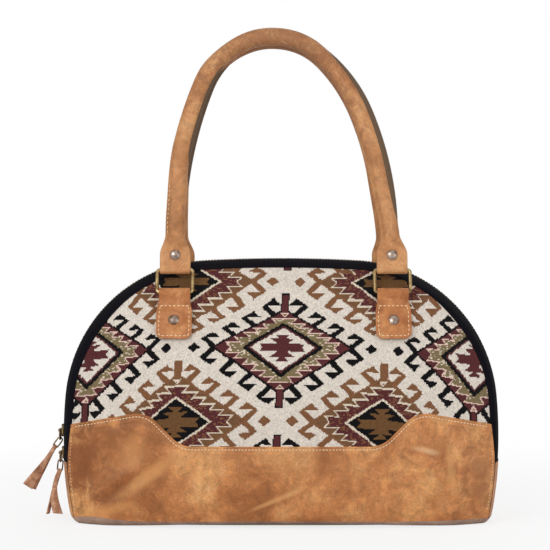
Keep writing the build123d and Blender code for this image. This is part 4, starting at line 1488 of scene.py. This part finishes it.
        piece = sheet_of("bottom_tray", columns, rows, place, closed=True)
        dress(piece, self.finish.underside)
        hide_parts("bottom_panel")
        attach(piece, "bag")


@dataclass
class Rivet:
    """A domed rivet cap, with a short skirt that sinks in the leather."""

    head: float = 11.2
    rise: float = 2.5
    flange: float = 0.5
    skirt: float = 0.9

    def cap(self) -> bpy.types.Object:
        """One cap on the plane of X and Y, with its dome along Z."""
        radius = ((self.head / 2) ** 2 + self.rise**2) / (2 * self.rise)
        deselect()
        bpy.ops.mesh.primitive_uv_sphere_add(segments=36, ring_count=40, radius=radius * MM,
                                             location=(0, 0, (self.rise - radius) * MM))
        made = bpy.context.active_object
        bpy.ops.object.transform_apply(location=True, rotation=False, scale=False)
        edit(made, lambda: bpy.ops.mesh.bisect(
            plane_co=(0, 0, self.flange * MM), plane_no=(0, 0, 1), clear_inner=True, clear_outer=False))
        extrude_rim(made, (0, 0, -self.skirt * MM))
        return made

    def set_in(self, name: str, node: str, at: Matrix, body: str, finish: Finishes) -> None:
        """Set one cap in its place, in the stead of its node.

        Args:
            name: Name of the cap.
            node: The rivet's node.
            at: The frame of the leather's surface there.
            body: The body that it moves with.
            finish: The bag's materials.
        """
        made = repeat(name, self.cap(), [at])
        dress(made, finish.rivet)
        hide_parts(node)
        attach(made, body)


@dataclass
class Tabs:
    """Folded leather tabs that hold the rings, with a stitched border, a cross stitch and a rivet."""

    finish: Finishes
    half_wide: float = 16.8
    half_neck: float = 14.65
    low: float = 176.9
    corner: float = 6.5
    loop: float = 3.9
    ply: float = 1.75
    outer: float = 3.9
    border: float = 2.6
    rivet_z: float = 194.0
    cross_z: float = 207.0

    def pivot(self, side: Side, hand: Hand) -> Vector:
        """The lower bar of a ring, from the frame's joints, in millimetres."""
        name = f"{side.label}_ring_{hand.label}_swing"
        return Vector(joint_of(name)["pos_m"]) / MM

    def half_at(self, z: Array) -> Array:
        """Half-width of the tab: rounded corners, straight sides, then a narrower neck."""
        rise = np.clip(z - self.low, 0, self.corner)
        body = self.half_wide - self.corner + np.sqrt(self.corner**2 - (self.corner - rise) ** 2)
        neck = self.half_wide - (self.half_wide - self.half_neck) * smooth(200, 213, z)
        return np.minimum(body, neck)

    def build(self) -> None:
        """Build the four tabs with their stitches and rivets."""
        for side in Side:
            for hand in Hand:
                self.tab(side, hand)

    def tab(self, side: Side, hand: Hand) -> None:
        """One tab: its outer skin runs up the front, round the bar and down behind."""
        bar = self.pivot(side, hand)
        front_rows, loop_rows, back_rows, columns = 40, 14, 12, 26
        rows = front_rows + loop_rows + back_rows
        merge_z = bar.z - 1.0

        def place(u: Array, v: Array) -> Array:
            """Carry the grid along the folded strap."""
            row = v * rows
            across = 2 * u - 1
            t = np.clip(row / front_rows, 0, 1)
            z_front = self.low + (merge_z - self.low) * t
            turn = np.clip((row - front_rows) / loop_rows, 0, 1) * pi
            t_back = np.clip((row - front_rows - loop_rows) / back_rows, 0, 1)
            z_back = merge_z - (merge_z - self.low - 9) * t_back
            on_front, on_back = row <= front_rows, row > front_rows + loop_rows
            z_loop = bar.z + self.loop * np.sin(turn)
            z = np.where(on_front, z_front, np.where(on_back, z_back, z_loop))
            half = self.half_at(z)
            x = bar.x + across * half
            edge = half * (1 - np.abs(across))
            inside = np.minimum(edge, np.where(on_front, z - self.low, 99))
            groove = 0.45 * np.exp(-((inside - self.border) / 0.8) ** 2)
            crown = 0.5 * smooth(2, 9, inside)
            dimple = 1.2 * np.exp(-((np.hypot(x - bar.x, z - self.rivet_z)) / 7.2) ** 4)
            seam = 0.4 * np.exp(-((z - self.cross_z) / 0.9) ** 2) * (edge > self.border)
            stand = np.where(on_front, self.outer - groove + crown - dimple - seam, 0.4)
            skin = FORM.depth(x, np.minimum(z, 240)) + stand
            bar_y = abs(bar.y)
            rise = smooth(bar.z - 15, merge_z, z)
            y_front = skin * (1 - rise) + (bar_y + self.loop) * rise
            y_back = skin * (1 - rise) + (bar_y - self.loop) * rise
            y = np.where(on_front, y_front, np.where(on_back, y_back, bar_y + self.loop * np.cos(turn)))
            return np.stack([x, side.value * y, z], axis=1)

        name = f"tab_{hand.label}_{side.label}"
        piece = sheet_of(f"leather_{name}", columns, rows, place, flip=side is Side.BACK)
        finish_with(piece, "SOLIDIFY", thickness=self.ply * MM, offset=-1.0)
        finish_with(piece, "BEVEL", width=0.45 * MM, segments=2, limit_method="ANGLE",
                    angle_limit=radians(50))
        dress(piece, self.finish.tab)
        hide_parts(name)
        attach(piece, "bag")
        self.sew(side, bar.x, name)
        spot_y = float(FORM.depth(bar.x, self.rivet_z)) + self.outer - 0.6
        normal = FORM.normal(np.array([bar.x]), np.array([self.rivet_z]), side)[0]
        at = axes((bar.x, side.value * spot_y, self.rivet_z), (1, 0, 0), normal)
        Rivet().set_in(f"rivet_{name}", f"tab_rivet_{hand.label}_{side.label}", at, "bag", self.finish)

    def sew(self, side: Side, middle: float, name: str) -> None:
        """Sew the border and the cross stitch of one tab."""
        zs = np.concatenate([np.linspace(self.cross_z, self.low + self.corner, 20),
                             self.low + self.corner * (1 - np.sin(np.linspace(0.1, pi / 2, 12)))])
        zs = np.maximum(zs, self.low)
        half = self.half_at(zs)
        shrink = (half - self.border) / half
        heights = np.maximum(zs, self.low + self.border)
        left, right = (np.stack([middle + sign * half * shrink, heights], axis=1) for sign in (-1, 1))
        border = np.concatenate([left, right[::-1]])
        keep = np.concatenate([[True], np.linalg.norm(np.diff(border, axis=0), axis=1) > 1e-3])
        reach = self.half_wide - self.border
        cross = np.array([(middle - reach, self.cross_z), (middle + reach, self.cross_z)])
        stitching = Stitching(long=2.9, thick=0.95, pitch=4.0)
        stitching.sew(f"stitches_{name}", [stitching.on_form(border[keep], self.outer - 0.2, side)],
                      "bag", self.finish)
        bold = Stitching(long=3.2, thick=1.3, pitch=3.9)
        bold.sew(f"cross_stitches_{name}", [bold.on_form(cross, self.outer - 0.1, side)],
                 "bag", self.finish)


@dataclass
class Handle:
    """A rolled leather handle: a tube with a stitched flange, and a riveted flap at each end."""

    finish: Finishes
    side: Side
    shift: float = 2.4
    half: float = 103.0
    lean_left: float = 11.1
    tube: float = 17.4
    drawn_right: float = 6.5
    drawn_left: float = 3.8
    spread: float = 0.018
    rise: float = 193.5
    top_y: float = 11.5
    leg_turn: float = 22.0
    shoulder_turn: float = 50.0
    crest_left: float = 62.0
    crest_right: float = 78.0
    strap_wide: float = 29.3
    strap_thick: float = 5.0
    strap_rise: float = 21.0
    flare_rise: float = 13.0
    loop: float = 3.9
    rivet_rise: float = 14.0
    pinch: float = 0.55
    pinch_from: float = 0.55
    pinch_to: float = 0.8
    foot: Vector = field(init=False)
    lean: float = field(init=False)

    def __post_init__(self) -> None:
        """Find the handle's plane from its pivot in the frame."""
        name = f"{self.side.label}_handle_swing"
        self.foot = Vector(joint_of(name)["pos_m"]) / MM
        self.lean = asin((abs(self.foot.y) - self.top_y) / (self.flare_top + self.rise))

    @property
    def flare_top(self) -> float:
        """Height above the ring's bar where the flared flap has become the tube."""
        return self.strap_rise + self.flare_rise

    def in_space(self, x: Array, up: Array, out: Array) -> Array:
        """Points from the handle's own plane: across, up along it, and out of it.

        The soft legs lean to the left above the flaps, and the back ones stand a little wider.
        """
        right = self.drawn_right * smooth(10, 90, up) * smooth(0, 75, x)
        left = self.drawn_left * smooth(60, 125, up) * smooth(228, 195, up) * smooth(0, -60, x)
        wider = self.spread * x * smooth(10, 90, up) if self.side is Side.BACK else 0.0
        x = x - right - left + wider
        y = abs(self.foot.y) - up * sin(self.lean) + out * cos(self.lean)
        z = self.foot.z + up * cos(self.lean) + out * sin(self.lean)
        return np.stack([self.shift + x, self.side.value * y, z], axis=-1)

    def half_arch(self, across: float, crest: float) -> tuple[float, float]:
        """Radii of the leg and the shoulder that carry the arch to its top."""
        leg, shoulder = radians(self.leg_turn), radians(self.shoulder_turn)
        a, b = 1 - cos(leg), cos(leg) - cos(shoulder)
        c, d = sin(leg), sin(shoulder) - sin(leg)
        e, f = across - crest * cos(shoulder), self.rise - crest * (1 - sin(shoulder))
        scale = a * d - b * c
        return (e * d - b * f) / scale, (a * f - c * e) / scale

    def path(self, steps: int = 30) -> Array:
        """The tube's centreline in its own plane, from the left flare to the right one."""
        left = self.half_arch(self.half - self.lean_left, self.crest_left)
        right = self.half_arch(self.half + self.lean_left, self.crest_right)
        crest, middle = 90 - self.shoulder_turn, self.shoulder_turn - self.leg_turn
        turns = [(left[0], self.leg_turn), (left[1], middle), (self.crest_left, crest),
                 (self.crest_right, crest), (right[1], middle), (right[0], self.leg_turn)]
        at, heading = np.array([-self.half, self.flare_top]), 90.0
        points = [at]
        for radius, turn in turns:
            centre = at + radius * np.array([sin(radians(heading)), -cos(radians(heading))])
            for angle in np.linspace(0, turn, steps)[1:]:
                way = radians(heading - angle)
                points.append(centre + radius * np.array([-sin(way), cos(way)]))
            at, heading = points[-1], heading - turn
        return np.array(points)

    def build(self) -> None:
        """Build the cover, its stitches and its rivets."""
        arch = self.path()
        strap = np.linspace(-self.loop, self.flare_top, 34)
        left = np.stack([np.full(len(strap), -self.half), strap], axis=1)[:-1]
        right = np.stack([np.full(len(strap), self.half), strap], axis=1)[:-1][::-1]
        line = np.concatenate([left, arch, right])
        way = np.gradient(line, axis=0)
        way /= np.linalg.norm(way, axis=1, keepdims=True)
        across = np.stack([way[:, 1], -way[:, 0]], axis=1)
        on_arch = np.zeros(len(line), bool)
        on_arch[len(left):len(left) + len(arch)] = True
        up = np.where(on_arch, self.flare_top, np.minimum(line[:, 1], self.flare_top))
        width, thick = self.section_sizes(up)
        hand = np.where(line[:, 0] < 0, -1.0, 1.0)
        leg = smooth(130, 60, line[:, 1])
        ring = 44
        rows = len(line) - 1

        def place(u: Array, v: Array) -> Array:
            """Carry the grid round the section and along the handle."""
            row = np.rint(v * rows).astype(int)
            turn = 2 * pi * u
            flat = smooth(self.flare_top, self.strap_rise, up[row])
            power = 1.0 - 0.55 * flat
            c, s = np.cos(turn), np.sin(turn)
            wide = np.sign(c) * np.abs(c) ** power * width[row] / 2
            out = np.sign(s) * np.abs(s) ** power * thick[row] / 2
            outer = (wide * hand[row]) > 0
            flange = leg[row] * (1 - flat) * outer
            reach = np.abs(wide) / (width[row] / 2)
            squeeze = 1 - self.pinch * flange * smooth(self.pinch_from, self.pinch_to, reach)
            wide = wide * (1 + 0.1 * flange)
            out = out * squeeze
            notch = 0.5 * flat * np.exp(-(out / 0.5) ** 2) * (np.abs(wide) > width[row] * 0.4)
            wide = wide - np.sign(wide) * notch
            x = line[row, 0] + across[row, 0] * wide
            y = line[row, 1] + across[row, 1] * wide
            return self.in_space(x, y, out)

        piece = sheet_of(f"rolled_handle_{self.side.label}", ring, rows, place, closed=True)
        dress(piece, self.finish.handle)
        body = f"{self.side.label}_handle"
        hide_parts(f"handle_{self.side.label}")
        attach(piece, body)
        dress(frame["nodes"][f"handle_core_{self.side.label}"], self.finish.lining)
        self.sew(arch, body)
        for hand_side in Hand:
            at = self.in_space(np.array(hand_side.value * self.half), np.array(self.rivet_rise),
                               np.array(self.strap_thick / 2 - 0.1))
            out = self.in_space(0.0, 0.0, 1.0) - self.in_space(0.0, 0.0, 0.0)
            Rivet().set_in(f"flap_rivet_{hand_side.label}_{self.side.label}",
                           f"strap_rivet_{hand_side.label}_{self.side.label}",
                           axes(at, (1, 0, 0), out), body, self.finish)

    def section_sizes(self, up: Array) -> tuple[Array, Array]:
        """Width and thickness of the section at heights above the ring's bar."""
        flare = smooth(self.strap_rise - 6, self.flare_top, up)
        width = self.strap_wide + (self.tube - self.strap_wide) * flare
        rolled = smooth(self.strap_rise - 2, self.flare_top, up)
        thick = self.strap_thick + (self.tube - self.strap_thick) * rolled
        under = np.clip(up, -self.loop, self.loop)
        bulge = 2 * np.sqrt(np.maximum(self.loop**2 - under**2, 0.05))
        thick = np.where(up < 0, bulge, np.maximum(thick, 2 * self.loop * smooth(9, 0, up)))
        width = np.where(up < -self.loop + 0.3, width * 0.985, width)
        return width, thick

    def sew(self, arch: Array, body: str) -> None:
        """Sew the flange along the outer side of both legs."""
        seams = []
        stitching = Stitching(long=2.8, thick=0.85, pitch=4.2)
        reach, proud, top, most = 0.78, 0.25, 165, 80
        pinched = 1 - self.pinch * float(smooth(self.pinch_from, self.pinch_to, np.array(reach)))
        high = self.tube / 2 * sqrt(1 - reach**2) * pinched + proud
        for hand in Hand:
            leg = arch if hand is Hand.LEFT else arch[::-1]
            leg = leg[leg[:, 1] < top][:most]
            leg = leg[leg[:, 0] * hand.value > 0]
            at, way = spaced(leg, stitching.pitch)
            away = np.stack([way[:, 1], -way[:, 0]], axis=1)
            away = np.where((away[:, :1] * hand.value) > 0, away, -away)
            flat = at + away * self.tube / 2 * reach * 1.1
            points = self.in_space(flat[:, 0], flat[:, 1], np.full(len(flat), high))
            ahead = flat + way
            ways = self.in_space(ahead[:, 0], ahead[:, 1], np.full(len(flat), high)) - points
            out = self.in_space(0.0, 0.0, 1.0) - self.in_space(0.0, 0.0, 0.0)
            seams.append((points, ways, np.repeat(out[None], len(points), axis=0)))
        stitching.sew(f"handle_stitches_{self.side.label}", seams, body, self.finish)


@dataclass(frozen=True)
class Tail:
    """One tail of a zip pull: where it bends and ends (X and Z), and its swing along Y.

    Its width grows from the neck at the link to the end's, and it twists by an angle in radians.
    """

    bend: tuple[float, float]
    end: tuple[float, float]
    swing: float
    wide: float
    twist: float
    neck: float = 4.0

    def point(self, start: Vector, ply: float, t: Array) -> tuple[Array, Array, Array]:
        """Points, widths and twists along the tail.

        Args:
            start: The link's bar, in millimetres.
            ply: Where the tail starts along Y, from the bar.
            t: Shares from 0 at the bar to 1 at the end.

        Returns:
            Points of the middle line, the widths there, and the twists in radians.
        """
        x = (1 - t) ** 2 * start.x + 2 * t * (1 - t) * self.bend[0] + t**2 * self.end[0]
        z = (1 - t) ** 2 * start.z + 2 * t * (1 - t) * self.bend[1] + t**2 * self.end[1]
        y = ply * (1 - t) + self.swing * t
        wide = self.neck + (self.wide - self.neck) * smooth(0.2, 1.1, t)
        return np.stack([x, y, z], axis=-1), wide, self.twist * smooth(0.1, 0.9, t)


@dataclass
class Pull:
    """A zip pull: one thin thong, folded through its link, with two tails that curl apart."""

    finish: Finishes
    name: str
    front: Tail
    back: Tail
    loop: float = 1.7
    ply: float = 1.3

    def build(self) -> None:
        """Build the thong from the end of its front tail, over the bar, to the end of the back one."""
        joint = joint_of(f"{self.name}_pull_swing")
        bar, hinge = Vector(joint["pos_m"]) / MM, np.array(joint["axis"])
        up = np.array([-hinge[2], 0.0, hinge[0]])
        tail_rows, loop_rows, columns = 30, 10, 6
        rows = 2 * tail_rows + loop_rows

        def place(u: Array, v: Array) -> Array:
            """Carry the grid along the thong, turning its width about its middle line."""
            row = v * rows
            front = self.front.point(bar, -self.loop, np.clip(1 - row / tail_rows, 0, 1))
            behind = np.clip((row - tail_rows - loop_rows) / tail_rows, 0, 1)
            back = self.back.point(bar, self.loop, behind)
            turn = np.clip((row - tail_rows) / loop_rows, 0, 1) * pi
            on_front, on_back = row < tail_rows, row > tail_rows + loop_rows
            over = np.array(bar) + self.loop * (np.outer(np.sin(turn), up)
                                                - np.outer(np.cos(turn), (0, 1, 0)))
            middle = np.where(on_front[:, None], front[0], np.where(on_back[:, None], back[0], over))
            wide = np.where(on_front, front[1], np.where(on_back, back[1], self.front.neck))
            twist = np.where(on_front, front[2], np.where(on_back, back[2], 0.0))
            way = np.outer(np.cos(twist), hinge) + np.outer(np.sin(twist), (0, 1, 0))
            return middle + way * ((u - 0.5) * wide)[:, None]

        piece = sheet_of(f"leather_pull_{self.name}", columns, rows, place)
        finish_with(piece, "SOLIDIFY", thickness=self.ply * MM, offset=0.0)
        finish_with(piece, "BEVEL", width=0.3 * MM, segments=2, limit_method="ANGLE",
                    angle_limit=radians(50))
        dress(piece, self.finish.pull)
        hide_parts(f"pull_tab_{self.name}")
        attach(piece, f"pull_{self.name}")


@dataclass
class Hardware:
    """Rings, sliders, bails and links, from the frame, with a metal finish; and the leather pulls."""

    finish: Finishes

    def build(self) -> None:
        """Dress the rings and the two zip pulls."""
        for side in Side:
            for hand in Hand:
                node = f"ring_{hand.label}_{side.label}"
                ring = smooth_copy(f"square_{node}", node)
                dress(ring, self.finish.ring)
                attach(ring, f"{side.label}_ring_{hand.label}")
        for name in ("upper", "lower"):
            for part in ("slider", "bail", "link"):
                piece = smooth_copy(f"zip_{part}_{name}", f"{part}_{name}")
                dress(piece, self.finish.brass)
                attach(piece, f"{part}_{name}")
        for pull in (
            Pull(self.finish, "upper", Tail((-230.0, 53.0), (-246.5, 30.5), -3.0, 11.0, 0.3),
                 Tail((-227.0, 58.0), (-241.5, 27.0), 4.0, 7.0, 1.1)),
            Pull(self.finish, "lower", Tail((-224.5, 28.0), (-216.8, 4.0), -3.5, 10.0, 0.2),
                 Tail((-221.0, 30.0), (-227.5, 3.0), 3.0, 6.5, 1.25)),
        ):
            pull.build()


# Stage


@dataclass(frozen=True)
class Studio:
    """The floor, the soft light and the camera at the photograph's viewing angle."""

    camera_x: float = -5.84
    camera_y: float = -1600.0
    camera_z: float = 236.0
    lens: float = 107.5
    floor_size: float = 12.0
    floor_white: float = 0.8
    shadow_share: float = 0.2
    fade_near: float = 0.25
    fade_far: float = 0.9
    aim_z: float = 0.16

    def build(self) -> None:
        """Build the whole stage."""
        self.floor()
        self.lights()
        self.world()
        self.camera()
        bpy.context.scene.view_settings.view_transform = "Standard"

    def floor(self) -> None:
        """A pale floor that fades to white for the camera and keeps a soft shadow."""
        deselect()
        bpy.ops.mesh.primitive_plane_add(size=self.floor_size, location=(0, 0, 0))
        floor = bpy.context.active_object
        floor.name = "floor"
        material, tree, shader = new_material("pale_floor")
        shader.inputs["Base Color"].default_value = (self.floor_white,) * 3 + (1,)
        shader.inputs["Roughness"].default_value = 1.0
        glow = add_node(tree, "ShaderNodeEmission", {"Color": (1, 1, 1, 1), "Strength": 1.0})
        seen = add_node(tree, "ShaderNodeLightPath")
        where = add_node(tree, "ShaderNodeTexCoord").outputs["Object"]
        away = add_node(tree, "ShaderNodeVectorMath", {0: where}, operation="LENGTH")
        fade = add_node(tree, "ShaderNodeMapRange", {
            "Value": away.outputs["Value"], "From Min": self.fade_near, "From Max": self.fade_far,
            "To Min": 1 - self.shadow_share, "To Max": 1.0}, interpolation_type="SMOOTHSTEP")
        share = add_node(tree, "ShaderNodeMath", {
            0: seen.outputs["Is Camera Ray"], 1: fade.outputs["Result"]}, operation="MULTIPLY")
        mixed = add_node(tree, "ShaderNodeMixShader", {
            0: share.outputs[0], 1: shader.outputs[0], 2: glow.outputs[0]})
        tree.links.new(mixed.outputs[0], tree.nodes["Material Output"].inputs["Surface"])
        dress(floor, material)

    def lights(self) -> None:
        """A large key from the upper left, a fill from the right, a light from above and one behind."""
        for name, place, size, watts in (
            ("key", (-1.3, -1.9, 1.2), 1.5, 27.0),
            ("fill", (1.6, -1.7, 0.8), 1.8, 15.0),
            ("top", (0.1, -0.4, 2.2), 1.8, 6.0),
            ("rear", (0.6, 1.9, 1.4), 1.6, 14.0),
        ):
            light = bpy.data.lights.new(name, "AREA")
            light.energy = watts
            light.size = size
            lamp = bpy.data.objects.new(name, light)
            bpy.context.collection.objects.link(lamp)
            lamp.location = place
            aim = Vector((0, 0, self.aim_z)) - Vector(place)
            lamp.rotation_euler = aim.to_track_quat("-Z", "Y").to_euler()

    def world(self) -> None:
        """An even pale sky that is pure white for the camera."""
        world = bpy.data.worlds.new("studio")
        bpy.context.scene.world = world
        world.use_nodes = True
        tree = world.node_tree
        back = tree.nodes["Background"]
        seen = add_node(tree, "ShaderNodeLightPath")
        strength = add_node(tree, "ShaderNodeMapRange", {
            "Value": seen.outputs["Is Camera Ray"], "To Min": 0.5, "To Max": 1.0})
        tree.links.new(strength.outputs[0], back.inputs["Strength"])
        back.inputs["Color"].default_value = (1, 1, 1, 1)

    def camera(self) -> None:
        """The camera, level and straight on."""
        data = bpy.data.cameras.new("camera")
        data.lens = self.lens
        data.sensor_width = 36.0
        data.clip_end = 50.0
        camera = bpy.data.objects.new("camera", data)
        bpy.context.collection.objects.link(camera)
        camera.location = (self.camera_x * MM, self.camera_y * MM, self.camera_z * MM)
        camera.rotation_euler = (pi / 2, 0, 0)
        bpy.context.scene.camera = camera


def main() -> None:
    """Build the bag piece by piece, then the stage."""
    logging.basicConfig(level=logging.INFO, format="%(message)s")
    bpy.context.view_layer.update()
    finish = Finishes()
    Shell(finish).build()
    LOG.info("shell built")
    Tabs(finish).build()
    LOG.info("tabs built")
    for side in Side:
        Handle(finish, side).build()
    LOG.info("handles built")
    Hardware(finish).build()
    LOG.info("hardware dressed")
    Studio().build()


if __name__ == "__main__":
    main()
